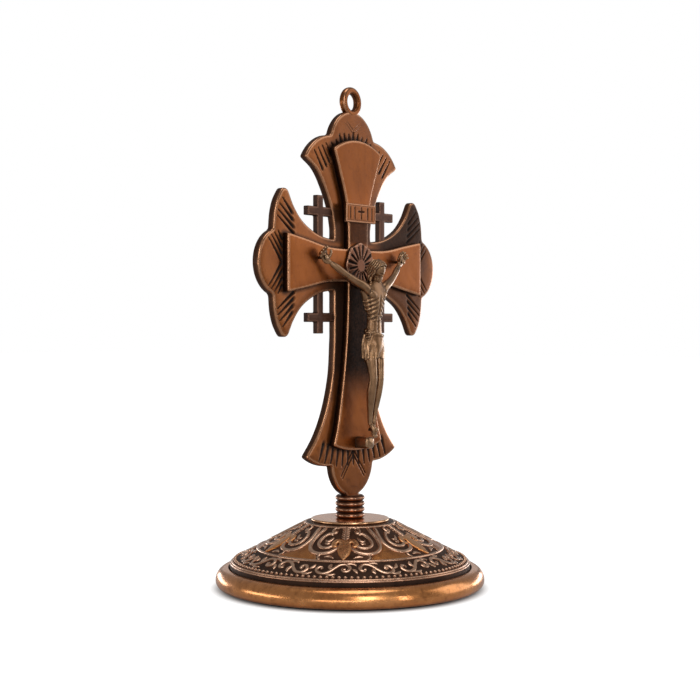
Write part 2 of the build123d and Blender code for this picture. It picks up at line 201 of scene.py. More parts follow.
class Wire:
    # one value in a node tree; the usual signs each add a maths node
    def __init__(self, book, socket):
        self.book, self.socket = book, socket

    def math(self, kind, *others, clamp=False):
        # a maths node of this kind on this value and the others
        return self.book.node("ShaderNodeMath", {"operation": kind, "use_clamp": clamp}, [self, *others])

    def __add__(self, o):
        return self.math("ADD", o)

    def __radd__(self, o):
        return self.math("ADD", o)

    def __sub__(self, o):
        return self.math("SUBTRACT", o)

    def __rsub__(self, o):
        return self.book.node("ShaderNodeMath", {"operation": "SUBTRACT"}, [o, self])

    def __mul__(self, o):
        return self.math("MULTIPLY", o)

    def __rmul__(self, o):
        return self.math("MULTIPLY", o)

    def clip(self):
        # held between 0 and 1
        return self.math("ADD", 0, clamp=True)

    def ease(self, low, high):
        # 0 at low, 1 at high, an S curve between
        settings = {"interpolation_type": "SMOOTHSTEP"}
        return self.book.node("ShaderNodeMapRange", settings, [self, low, high, 0, 1])


class Book:
    # one material's node tree, and short names for the nodes it uses
    def __init__(self, name):
        self.material = bpy.data.materials.new(name)
        self.material.use_nodes = True
        self.tree = self.material.node_tree
        self.tree.nodes.clear()
        self.place = self.node("ShaderNodeTexCoord", {}, [], "Object")

    def node(self, kind, settings, inputs, output=0):
        # any node: its type, its settings first, then the values or links of its sockets
        made = self.tree.nodes.new(kind)
        for key, value in settings.items():
            setattr(made, key, value)
        pairs = inputs.items() if isinstance(inputs, dict) else enumerate(inputs)
        for key, value in pairs:
            if isinstance(value, Wire):
                self.tree.links.new(value.socket, made.inputs[key])
            else:
                made.inputs[key].default_value = value
        return Wire(self, made.outputs[output])

    def mark(self, name):
        # a per-point value of the mesh
        return self.node("ShaderNodeAttribute", {"attribute_name": name}, [], "Fac")

    def noise(self, scale, detail=4, roughness=0.55, stretch=None):
        # cloudy values round 0.5; scale counts per metre, stretch squeezes an axis
        place = self.place
        if stretch:
            settings = {"operation": "MULTIPLY"}
            place = self.node("ShaderNodeVectorMath", settings, [place, stretch], "Vector")
        return self.node("ShaderNodeTexNoise", {}, {
            "Vector": place, "Scale": scale, "Detail": detail, "Roughness": roughness,
        }, "Fac")

    def cells(self, scale):
        # distance to the nearest of many scattered points; scale counts per metre
        return self.node("ShaderNodeTexVoronoi", {}, {"Vector": self.place, "Scale": scale}, "Distance")

    def tint(self, factor, a, b):
        # colour a where factor is 0, b where it is 1
        a, b = [c if isinstance(c, Wire) else (*c, 1) for c in (a, b)]
        return self.node("ShaderNodeMix", {"data_type": "RGBA"}, {0: factor, 6: a, 7: b}, 2)

    def bump(self, height, depth, after=None):
        # height 0 to 1 raised by depth millimetres
        links = {"Strength": 1.0, "Distance": depth * mm, "Height": height}
        if after:
            links["Normal"] = after
        return self.node("ShaderNodeBump", {}, links, "Normal")

    def finish(self, colour, roughness, metallic, normal, coat=0.0, coatRoughness=0.1):
        # the one surface node, wired to the output; gives the finished material
        out = self.tree.nodes.new("ShaderNodeOutputMaterial")
        skin = self.node("ShaderNodeBsdfPrincipled", {}, {
            "Base Color": colour, "Roughness": roughness, "Metallic": metallic, "Normal": normal,
            "Coat Weight": coat, "Coat Roughness": coatRoughness, "IOR": 1.5,
        }, "BSDF")
        self.tree.links.new(skin.socket, out.inputs["Surface"])
        return self.material


# each copper's clean tones, its dark spots, its rubbed edges (also the colour of painted highlights), its
# roughness, how cloudy it is, and how much of the metal's shine the patina and painted shade take (dull)
agedCopper = {
    "figure": dict(bright=(0.35, 0.190, 0.094), middle=(0.20, 0.100, 0.047), deep=(0.06, 0.030, 0.016),
                   wornAndGlint=(0.47, 0.29, 0.165), rough=0.34, cloud=0.7),
    "frontPlate": dict(bright=(0.33, 0.096, 0.017), middle=(0.24, 0.064, 0.010), deep=(0.14, 0.034, 0.006),
                       wornAndGlint=(0.60, 0.30, 0.16), rough=0.36, cloud=0.9, dull=0.0),
    "backPlate": dict(bright=(0.30, 0.094, 0.020), middle=(0.20, 0.056, 0.012), deep=(0.08, 0.022, 0.006),
                      wornAndGlint=(0.58, 0.29, 0.155), rough=0.33, cloud=0.9),
    # the small crosses: a darker copy of the plate copper, painted shade where they sit back behind the wings
    "smallCross": dict(bright=(0.11, 0.046, 0.026), middle=(0.055, 0.021, 0.012), deep=(0.018, 0.008, 0.005),
                       wornAndGlint=(0.20, 0.10, 0.065), rough=0.42, cloud=0.7),
    "reliefWire": dict(bright=(0.62, 0.33, 0.20), middle=(0.42, 0.195, 0.105), deep=(0.12, 0.050, 0.026),
                       wornAndGlint=(0.84, 0.55, 0.38), rough=0.32, cloud=0.8),
    "reliefGround": dict(bright=(0.13, 0.062, 0.036), middle=(0.052, 0.024, 0.014),
                         deep=(0.014, 0.008, 0.005),
                         wornAndGlint=(0.30, 0.17, 0.11), rough=0.46, cloud=0.7),
    "brightField": dict(bright=(0.66, 0.26, 0.075), middle=(0.46, 0.155, 0.036), deep=(0.16, 0.045, 0.012),
                        wornAndGlint=(0.82, 0.46, 0.24), rough=0.26, cloud=0.7),
    "lilyCopper": dict(bright=(0.72, 0.25, 0.055), middle=(0.52, 0.160, 0.032), deep=(0.24, 0.07, 0.015),
                       wornAndGlint=(0.90, 0.50, 0.25), rough=0.36, cloud=0.7),
    "rimCopper": dict(bright=(0.88, 0.38, 0.135), middle=(0.58, 0.215, 0.060), deep=(0.20, 0.060, 0.018),
                      wornAndGlint=(0.84, 0.48, 0.26), rough=0.24, cloud=0.8),
    "neckCopper": dict(bright=(0.24, 0.095, 0.045), middle=(0.12, 0.042, 0.020), deep=(0.04, 0.015, 0.009),
                       wornAndGlint=(0.46, 0.24, 0.15), rough=0.30, cloud=0.7),
}


# the near-black of the patina, which also colours the painted shade
patinaAndShadeTone = (0.017, 0.008, 0.005)


def copperMaterial(name, lacquer=0.0, brushed=0.0):
    # antique copper: cloudy tone, near-black where the groove mark is high (patina in cuts and hollows, and
    # painted shade and painted dark reflections where pieces set it), rubbed bright where the edge mark is
    # (wear, and painted highlights where pieces set it)
    look = agedCopper[name]
    b = Book(name)
    cloud = b.noise(90, 5, 0.6)
    mottle = b.noise(420, 4, 0.65)
    grime = b.noise(1500, 3, 0.7)
    tone = (cloud * 0.7 + mottle * 0.3).ease(0.5 - look["cloud"] * 0.3, 0.5 + look["cloud"] * 0.3)
    colour = b.tint(tone, look["middle"], look["bright"])
    colour = b.tint((0.60 - mottle).ease(0.12, 0.3) * 0.35, colour, look["deep"])
    # the edge mark: rubbed wear, and painted highlights beside strokes and on bead tops
    rubAndGlint = (b.mark("edge") * (0.55 + 0.9 * mottle)).clip()
    colour = b.tint((rubAndGlint * 0.85).clip(), colour, look["wornAndGlint"])
    # the groove mark: patina, and painted shade and painted dark reflections on walls, recesses and the shaft
    pitAndShade = (b.mark("groove") * (0.75 + 0.5 * grime)).clip()
    colour = b.tint(pitAndShade, colour, patinaAndShadeTone)
    rough = look["rough"] + 0.22 * (mottle - 0.5) + 0.12 * (grime - 0.5) + pitAndShade * 0.3 - rubAndGlint * 0.1
    normal = b.bump(cloud, 0.06)
    normal = b.bump(mottle, 0.018, normal)
    normal = b.bump(grime, 0.006, normal)
    if brushed:
        hair = b.noise(700, 3, 0.6, (1.0, 1.0, 0.045))
        rough = rough + brushed * 0.5 * (hair - 0.5)
        normal = b.bump(hair, 0.010 * brushed, normal)
    metallic = (0.96 - pitAndShade * look.get("dull", 0.3)).clip()
    return b.finish(colour, rough.clip(), metallic, normal, (1 - pitAndShade) * lacquer, 0.08)


# the base: relief laid on the cone

domeFit = {
    "coneFoot": (36.9, 8.35), "coneHead": (13.9, 20.45), "groundFoot": 29.2,
    "panels": 6, "panelTurn": -57.0, "waves": 16, "beads": 124, "beadCircle": 35.9, "beadRadius": 0.58,
}


def coneHeight(radius):
    # the cone's straight side: height falls evenly as the radius grows
    (r0, z0), (r1, z1) = domeFit["coneFoot"], domeFit["coneHead"]
    return z0 + (r0 - radius) * (z1 - z0) / (r0 - r1)


coneSlope = math.atan2(12.1, 23.0)
coneUp = (math.sin(coneSlope), math.cos(coneSlope))


def panelMiddles(shift=0.0):
    # bearing of each panel's middle, moved by a share of a panel
    return [domeFit["panelTurn"] + (k + shift) * 360 / domeFit["panels"] for k in range(domeFit["panels"])]


def onCone(angleDeg, radius, lift=0.0):
    # a point on the cone from its bearing (0 at the front, clockwise from above) and radius, raised by lift
    a = np.radians(angleDeg)
    r = radius + lift * coneUp[0]
    return np.stack([r * np.sin(a), -r * np.cos(a), coneHeight(radius) + lift * coneUp[1] + 0 * a], -1)


def coneNormal(angleDeg):
    # straight out of the cone's side at a bearing
    a = np.radians(angleDeg)
    return np.stack([coneUp[0] * np.sin(a), -coneUp[0] * np.cos(a), coneUp[1] + 0 * a], -1)


def coneStroke(knots, count, halfWide, halfHigh, centre=0.0, side=1, ring=10, taper=True, flat=0.75):
    # a raised wire drawn on the cone through (bearing, radius) knots measured from a panel's middle, a
    # quarter of its height sunk in
    line = smoothLine(knots, count)
    bearing, radius = centre + side * line[:, 0], line[:, 1]
    swell = softEnds(count) if taper else np.ones(count)
    path = onCone(bearing, radius, -0.25 * np.max(halfHigh))
    edge = np.clip(np.sin(np.arange(ring) / ring * turn), 0, 1) ** 2
    return rope(path, coneNormal(bearing), halfWide * swell, halfHigh * swell, ring, flat, edge=edge)


def domeGround():
    # the cone itself: closed profile spun round, a little below the relief
    low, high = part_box("base_dome")
    top, foot = high.z / mm, low.z / mm
    radii = np.linspace(36.9, 13.9, 60)
    outer = np.stack([radii, coneHeight(radii)], -1)
    profile = np.concatenate([
        [(36.3, foot), (37.5, foot), (37.58, foot + 0.2), (37.58, 7.6), (37.5, 7.85), (37.3, 8.05)],
        outer,
        [(13.2, top - 0.12), (12.7, top), (3.0, top), (3.0, top - 1.2), (13.0, top - 1.2), (36.3, 7.0)],
    ])
    away = profile[:, 0]
    # the relief's ground takes patina; the skirt behind the rim is painted darker: patina and painted shade
    groove = 0.45 * (away < 36.6) * (away > domeFit["groundFoot"]) + 0.5 * (away > 36.6)
    return [lathe(profile, 360, edge=0 * groove, groove=groove)]


def wireRing(radius, half, sink=0.2, steps=720):
    # a round wire closed round the cone at one radius, sunk by a share of its half width
    a = np.arange(steps) / steps * 360
    path = onCone(a, radius + 0 * a, -sink * half)
    along = unit(np.roll(path, -1, 0) - np.roll(path, 1, 0))
    up = coneNormal(a)
    side = unit(np.cross(along, up))
    t = np.arange(12) / 12 * turn
    circle = side[:, None] * np.cos(t)[None, :, None] + up[:, None] * np.sin(t)[None, :, None]
    rings = path[:, None] + half * circle
    edge = np.tile(np.clip(np.sin(t), 0, 1) ** 2, steps)
    return shell(rings.reshape(-1, 3), sheetFaces(steps, 12, True, True), edge=edge * 0.8, groove=0 * edge)


def beadRow():
    # low round beads side by side: each a small ball of 8 by 6 faces
    count = domeFit["beads"]
    a = np.arange(count) / count * 360
    middles = onCone(a, domeFit["beadCircle"] + 0 * a, 0.05)
    lat, lon = np.meshgrid(np.linspace(0.02, math.pi - 0.02, 7), np.arange(8) / 8 * turn, indexing="ij")
    ball = np.stack([np.sin(lat) * np.cos(lon), np.sin(lat) * np.sin(lon), np.cos(lat)], -1)
    # painted highlight on each bead's top and painted shade on its underside
    edge, groove = blendStep(0.2, 0.9, ball[..., 2]) * 0.9, 0.35 * blendStep(0.5, -0.1, ball[..., 2])
    return [tube(m + domeFit["beadRadius"] * ball, edge=edge, groove=groove) for m in middles]


def scrollFrieze():
    # running S scrolls, every second one turned over: a curl, a long diagonal, a second curl, and leaf tips;
    # points are (along, up) in mm inside one unit of the band, then steps, half width and half height
    middle = 32.35
    waves = domeFit["waves"]
    span = math.radians(360 / waves) * middle
    scroll = ([(2.5, 0.1), (1.9, 0.75), (1.1, 0.55), (0.75, -0.4), (1.4, -1.5), (2.9, -1.95), (4.7, -1.05),
               (6.1, 0.55), (7.7, 1.85), (9.6, 1.75), (10.5, 0.5), (10.0, -0.75), (8.8, -0.9), (8.3, -0.05),
               (8.9, 0.5)], 96, 0.60, 0.52)
    leaves = [
        ([(5.3, -0.4), (4.5, 0.9), (4.9, 2.2)], 16, 0.72, 0.46),
        ([(3.4, -1.9), (5.0, -2.45), (6.6, -2.0)], 18, 0.60, 0.44),
        ([(9.0, 1.9), (10.9, 2.35), (12.6, 1.5)], 18, 0.60, 0.44),
        ([(11.2, 0.2), (12.0, -0.6), (12.6, -1.8)], 14, 0.62, 0.42),
    ]
    shells = []
    for k in range(waves):
        start = domeFit["panelTurn"] + (k + 0.35) * 360 / waves
        turned = 1 if k % 2 else -1
        for knots, count, wide, high in [scroll] + leaves:
            knots = np.asarray(knots, float)
            line = np.stack([start + knots[:, 0] / span * 360 / waves, middle - turned * knots[:, 1]], -1)
            shape = np.full(count, wide) if count > 50 else wide * np.sin(np.linspace(0.25, 2.9, count))
            shells.append(coneStroke(line, count, shape, high))
        for spot, rise in ((2.2, 0.15), (8.95, -0.1)):
            a = start + spot / span * 360 / waves
            r = middle - turned * rise
            shells.append(coneStroke([(a - 0.6, r), (a + 0.6, r)], 8, 0.62, 0.5))
    return shells


def leafWidth(wide, count, first=0.2, last=2.9):
    # a leaf's half width: part of a sine arch
    return wide * np.sin(np.linspace(first, last, count))


def panelScrolls():
    # wires of one panel each side, as knots, steps, half width, half height and ring: bell-shaped frame,
    # inner scroll, hook, sprig, twig, drop and petal, then the ribs of the stem
    wires = [
        ([(25.6, 14.1), (26.2, 15.4), (27.6, 17.5), (28.4, 19.6), (28.1, 21.6), (26.2, 23.6), (22.8, 25.1),
          (18, 25.9), (13, 25.7), (9, 24.9), (6.2, 23.6), (4.4, 22.3)], 64, 0.72, 0.56, 12),
        ([(12.5, 17.6), (15.4, 17.0), (19, 17.7), (21.6, 19.4), (21.8, 21.3), (19.2, 22.8), (15, 23.4),
          (11.2, 22.9), (9.4, 21.9), (10.6, 21.2)], 52, 0.60, 0.50, 12),
        ([(8.5, 14.6), (12.0, 14.5), (14.3, 15.4), (13.2, 16.7), (10.6, 16.4), (10.8, 15.4)],
         30, np.linspace(0.30, 0.66, 30), 0.50, 10),
        ([(10.5, 18.6), (12.2, 19.8), (15.2, 20.6), (17.2, 19.8)], 20, leafWidth(0.58, 20), 0.42, 10),
        ([(12.0, 20.9), (14.2, 21.6), (16.6, 21.3)], 14, leafWidth(0.50, 14), 0.38, 10),
        ([(15.5, 26.1), (16.4, 27.3), (14.8, 28.5)], 18, 0.40, 0.36, 10),
        ([(6.0, 27.9), (9.0, 27.0), (12.4, 27.3)], 18, leafWidth(0.60, 18, 0.1, 3.0), 0.38, 10),
    ]
    for rib in range(5):
        r = 15.2 + rib * 0.98
        wires.append(([(0.4, r), (2.4, r - 0.28), (4.3 - 0.3 * rib, r - 0.9)], 10, 0.36, 0.36, 8))
    shells = []
    for centre in panelMiddles():
        for side in (-1, 1):
            shells += [coneStroke(*wire[:4], centre, side, wire[4]) for wire in wires]
        shells.append(coneStroke([(0, 14.2), (0, 16.5), (0, 20.6)], 24, 0.50, 0.50, centre, taper=False))
    return shells


def lilies():
    # fleur-de-lis at the foot of each panel: a drop-shaped heart and two arms that curl down
    u = np.linspace(0, 1, 40)
    heartAt, heartHalf = [0, 0.05, 0.25, 0.5, 0.72, 0.88, 0.93, 1], [0.6, 1.2, 1.9, 2.2, 1.65, 0.75, 0.6, 0.1]
    heartWide = np.interp(u, heartAt, heartHalf)
    arm = [(0.6, 21.5), (2.8, 20.6), (5.8, 20.2), (8.2, 20.9), (8.8, 22.0), (7.3, 22.5), (6.6, 21.8)]
    armWide = np.interp(np.linspace(0, 1, 34), [0, 0.3, 0.7, 1], [1.15, 1.05, 0.85, 0.6])
    shells = []
    for centre in panelMiddles():
        heart = [(0, 20.0), (0, 24.0), (0, 28.6)]
        shells.append(coneStroke(heart, 40, heartWide, 0.60, centre, 1, 18, taper=False, flat=0.5))
        for side in (-1, 1):
            shells.append(coneStroke(arm, 34, armWide, 0.56, centre, side, 14, flat=0.5))
    return shells


def brightFields():
    # smooth polished wedges between the panels, slightly crowned; each is a thin pad on the cone
    shells = []
    near, far = 20.4, 28.55
    r = np.linspace(near, far, 40)
    fieldAt = [near, 21.5, 23.5, 24.8, 25.8, 26.6, 27.4, far]
    half = np.interp(r, fieldAt, [0.3, 0.9, 2.3, 4.6, 8.4, 11.6, 12.6, 13.0])
    v = np.linspace(-1, 1, 31)
    rr, vv = np.meshgrid(r, v, indexing="ij")
    crown = 0.22 * (1 - vv**4) * np.sin(np.clip((rr - near) / 8.15, 0.02, 0.98) * math.pi) ** 0.5
    for centre in panelMiddles(0.5):
        top = onCone(centre + vv * half[:, None], rr, crown)
        under = onCone(centre + vv * half[:, None], rr, -0.3 + 0 * crown)
        ring = np.concatenate([top, under[:, ::-1]], 1)
        edge = np.concatenate([blendStep(0.86, 1.0, np.abs(vv)) * 0.5, 0 * vv], 1)
        shells.append(tube(ring, edge=edge, groove=0 * edge))
    return shells


reliefGround = copperMaterial("reliefGround")
reliefWire = copperMaterial("reliefWire", lacquer=0.2)
brightField = copperMaterial("brightField", lacquer=0.25)
makePiece("domeGround", domeGround(), reliefGround, ["base_dome"])
rings = [(29.0, 0.50), (36.8, 0.36), (37.35, 0.32, 0.8), (37.45, 0.34, 1.7), (14.0, 0.34)]
makePiece("domeRings", [wireRing(*ring) for ring in rings], reliefWire)
makePiece("domeBeads", beadRow(), reliefWire)
makePiece("domeFrieze", scrollFrieze(), reliefWire)
makePiece("domePanels", panelScrolls(), reliefWire)
makePiece("domeLilies", lilies(), copperMaterial("lilyCopper", lacquer=0.2))
makePiece("domeFields", brightFields(), brightField)
print("base relief done")


rimFit = {
    "lowRound": (2.2, 2.15), "highRound": (3.6, 3.88), "middle": 2.7, "inner": 38.85, "foot": 0.52,
    "lip": 1.05, "skirt": 37.9, "hollow": 36.5,
}


def rimProfile():
    # the rolled rim: two arcs outside, a crest, and the shadow groove behind it
    fit = rimFit
    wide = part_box("base_rim")[1].x / mm
    a = np.radians(np.linspace(-78, 0, 22))
    b = np.radians(np.linspace(0, 96, 34))
    (lowAcross, lowUp), (highAcross, highUp) = fit["lowRound"], fit["highRound"]
    lower = np.stack([wide - lowAcross + lowAcross * np.cos(a), fit["middle"] + lowUp * np.sin(a)], -1)
    upper = np.stack([wide - highAcross + highAcross * np.cos(b), fit["middle"] + highUp * np.sin(b)], -1)
    behind = [(fit["skirt"] + 0.05, 6.2), (fit["skirt"], 5.9), (fit["skirt"], 5.0), (fit["hollow"], 4.98),
              (fit["hollow"], fit["lip"]), (fit["inner"], fit["lip"])]
    return np.concatenate([[(fit["inner"], fit["foot"])], lower, upper[1:], behind])


rim = rimProfile()
# the groove behind the crest is painted dark: patina and painted shade
rimGrooveShade = blendStep(38.25, 37.95, rim[:, 0])
rimCopper = copperMaterial("rimCopper", lacquer=0.35)
makePiece("baseRim", [lathe(rim, 480, edge=0 * rimGrooveShade, groove=0.85 * rimGrooveShade)],
          rimCopper, ["base_rim"])

capFit = {"hole": 3.0, "flat": 11.0, "edgeMiddle": 11.85, "edgeRound": (0.4, 0.44)}
capFoot, capTop = [corner.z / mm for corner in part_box("cap_disc")]
bend = np.radians(np.linspace(-90, 90, 15))
capEdge = np.stack([capFit["edgeMiddle"] + capFit["edgeRound"][0] * np.cos(bend),
                    (capTop + capFoot) / 2 + capFit["edgeRound"][1] * np.sin(bend)], -1)
capProfile = np.concatenate([
    [(capFit["hole"], capFoot), (capFit["flat"], capFoot)], capEdge,
    [(11.4, capTop), (8.0, capTop - 0.02), (capFit["hole"], capTop)]])
capShine = np.r_[0, 0, 0.9 * np.ones(15), 0, 0, 0]
makePiece("capDisc", [lathe(capProfile, 240, edge=capShine, groove=0 * capShine)],
          rimCopper, ["cap_disc"])

neckFit = {"ribs": 4, "waist": 3.75, "ribReach": 0.85, "hole": 0.6, "shoulder": 3.3}
neckFoot, neckTop = [corner.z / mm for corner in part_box("neck_collar")]
h = np.linspace(neckFoot, neckTop, 130)
ribWave = np.abs(np.sin((h - neckFoot) / (neckTop - neckFoot) * neckFit["ribs"] * math.pi)) ** 0.7
neckProfile = np.concatenate([
    [(neckFit["hole"], neckFoot)], np.stack([neckFit["waist"] + neckFit["ribReach"] * ribWave, h], -1),
    [(neckFit["shoulder"], neckTop), (neckFit["hole"], neckTop)]])
neckShine = np.r_[0, blendStep(0.8, 1.0, ribWave), 0, 0]
neckGrime = np.r_[0, blendStep(0.62, 0.05, ribWave), 0, 0]
makePiece("neckCollar", [lathe(neckProfile, 160, edge=neckShine, groove=neckGrime)],
          copperMaterial("neckCopper", lacquer=0.1), ["neck_collar"])
print("rim, disc and neck done")


# the cross: plates cast with soft edges and carved strokes

armHeight = 100.4
bodyFront, bodyBack = -1.4, 1.1
frontFace = -3.5


def arcThrough(a, b, c, count=24):
    # the circle's arc from a through b to c
    a, b, c = [np.asarray(p, float) for p in (a, b, c)]
    d = 2 * (a[0] * (b[1] - c[1]) + b[0] * (c[1] - a[1]) + c[0] * (a[1] - b[1]))
    squares = [p @ p for p in (a, b, c)]
    middle = np.array([
        (squares[0] * (b[1] - c[1]) + squares[1] * (c[1] - a[1]) + squares[2] * (a[1] - b[1])) / d,
        (squares[0] * (c[0] - b[0]) + squares[1] * (a[0] - c[0]) + squares[2] * (b[0] - a[0])) / d,
    ])
    angles = [math.atan2(*(p - middle)[::-1]) for p in (a, b, c)]
    sweep = (angles[2] - angles[0]) % turn
    if (angles[1] - angles[0]) % turn > sweep:
        sweep -= turn
    t = angles[0] + np.linspace(0, 1, count) * sweep
    radius = np.linalg.norm(a - middle)
    return middle + radius * np.stack([np.cos(t), np.sin(t)], -1)


def below(points):
    # the same points seen across the level of the arms, in the opposite order
    return np.asarray(points)[::-1] * (1, -1) + (0, 2 * armHeight)


def bothSides(half, gap=0.25, soften=9):
    # a right-hand half from top to bottom, closed with its mirror image, walked evenly, corners eased
    loop = evenLoop(np.concatenate([half, (half * (-1, 1))[::-1]]), gap)
    for _ in range(soften):
        loop = 0.5 * loop + 0.25 * (np.roll(loop, 1, 0) + np.roll(loop, -1, 0))
    return loop


def bodyOutline():
    # crown lobe, fan, wing, side lobe, wing, bell and leaf, down the right-hand side
    wingInner = smoothLine([(10.6, 108.3), (15.0, 108.9), (19.8, 110.4), (25.2, 113.4), (29.0, 117.4),
                            (31.1, 120.9)], 60)
    wingTip = arcThrough((31.1, 120.9), (33.1, 122.4), (34.9, 121.3), 14)
    wingOuter = smoothLine([(34.9, 121.3), (36.6, 118.8), (37.9, 115.0), (38.5, 109.8)], 40)
    wing = np.concatenate([[(9.35, 108.25)], wingInner, wingTip, wingOuter])
    half = np.concatenate([
        arcThrough((0, 148.4), (8.06, 145.06), (10.97, 140.1), 40),
        arcThrough((10.97, 140.1), (17.7, 138.2), (23.7, 132.4), 40),
        smoothLine([(23.7, 132.4), (18.0, 128.9), (13.6, 123.0), (10.6, 116.8), (9.3, 111.5)], 60),
        wing,
        arcThrough((38.5, 109.8), (45.3, 100.4), (38.5, 91.0), 70),
        below(wing),
        smoothLine([(9.3, 78), (10.4, 66), (13.9, 55), (18.2, 47.7), (23.2, 42.2)], 80),
        arcThrough((23.2, 42.2), (17.6, 39.6), (10.6, 38.7), 30),
        arcThrough((10.6, 38.7), (8.0, 32.3), (2.9, 29.0), 30),
        [(2.9, 26.6), (0, 26.5)],
    ])
    return bothSides(half)


def frontOutline():
    # the raised cross: flared ends, waisted arms and a long stem that widens to the foot
    armTop = smoothLine([(4.9, 105.4), (15.0, 105.8), (25.0, 107.6), (34.4, 109.2)], 60)
    half = np.concatenate([
        arcThrough((0, 139.3), (6.4, 138.4), (12.2, 135.8), 30),
        smoothLine([(12.2, 135.8), (9.2, 128.5), (6.5, 121.0), (5.1, 113.5), (4.9, 105.4)], 60),
        armTop,
        below(armTop),
        smoothLine([(4.9, 95.4), (5.7, 80), (6.8, 70), (8.5, 60), (10.7, 50), (12.4, 45.1)], 80),
        arcThrough((12.4, 45.1), (6.4, 43.5), (0, 43.0), 30),
    ])
    return bothSides(half)


def edgeField(loop, away, gap=0.5):
    # a function giving how far inside a closed outline any point lies, negative outside: exact distances on a
    # coarse raster, read between its corners by bilinear blending
    low = loop.min(0) - 2.5
    count = np.ceil((loop.max(0) + 2.5 - low) / gap).astype(int) + 1
    gx, gz = np.meshgrid(
        low[0] + gap * np.arange(count[0]), low[1] + gap * np.arange(count[1]), indexing="ij")
    spots = np.stack([gx.ravel(), gz.ravel()], -1).astype(np.float32)
    raster = np.empty(len(spots), np.float32)
    edge = loop.astype(np.float32)
    for start in range(0, len(spots), 3000):
        part = spots[start:start + 3000]
        square = (part[:, None, 0] - edge[None, :, 0]) ** 2 + (part[:, None, 1] - edge[None, :, 1]) ** 2
        index = square.argmin(1)
        row = np.arange(len(part))
        inward = ((edge[index] - part) * away[index]).sum(-1)
        raster[start:start + 3000] = np.sqrt(square[row, index]) * np.sign(inward)
    raster = raster.reshape(count)

    def reach(points):
        # the distance at any points, blended from the four corners of the cell each lies in
        at = (np.asarray(points)[:, :2] - low) / gap
        cell = np.clip(at.astype(int), 0, count - 2)
        u, v = np.clip(at - cell, 0, 1).T
        i, j = cell.T
        return ((1 - u) * ((1 - v) * raster[i, j] + v * raster[i, j + 1])
                + u * ((1 - v) * raster[i + 1, j] + v * raster[i + 1, j + 1]))
    return reach


def outwardOf(loop):
    # the outline's unit normals, pointing away from the metal
    along = unit(np.roll(loop, -1, 0) - np.roll(loop, 1, 0))
    normal = np.stack([along[:, 1], -along[:, 0]], -1)
    x, z = loop.T
    area = (x * np.roll(z, -1) - np.roll(x, -1) * z).sum()
    return normal if area > 0 else -normal


def strokeDepth(points, strokes):
    # V-shaped cuts: depth falls evenly from each stroke's middle line to its two sides and towards its end
    depth = np.zeros(len(points))
    for x0, z0, x1, z1, wide0, wide1, deep in strokes:
        start, run = np.array([x0, z0]), np.array([x1 - x0, z1 - z0])
        gap = points - start
        t = gap @ run / (run @ run)
        inside = np.clip(t, 0, 1)
        miss = np.linalg.norm(gap - inside[:, None] * run, axis=1)
        half = (wide0 + (wide1 - wide0) * inside) / 2
        cut = np.clip(1 - miss / half, 0, 1) * deep * (0.45 + 0.55 * (half * 2 / max(wide0, wide1)))
        depth = np.maximum(depth, cut)
    return depth


def fillOutline(loop, net, field):
    # an even triangle net inside a closed outline; gives the points, the triangles and where the outline's
    # own points ended up
    flat = np.concatenate([loop, net])
    n = len(loop)
    found, _, tris, *_ = delaunay_2d_cdt([Vector(p) for p in flat], [], [list(range(n))], 1, 1e-7, False)
    found, tris = np.array([tuple(p) for p in found]), np.array(tris)
    tris = tris[field(found[tris].mean(1)) > 0.0]
    return found, tris, nearestRows(found, loop, n)


def evenNet(loop, gap):
    # rows of points a gap apart, every second row shifted by half a gap
    low, high = loop.min(0), loop.max(0)
    gx, gz = np.meshgrid(np.arange(low[0], high[0], gap), np.arange(low[1], high[1], gap * 0.866))
    gx = gx + (np.arange(len(gz)) % 2)[:, None] * gap / 2
    return np.stack([gx.ravel(), gz.ravel()], -1)


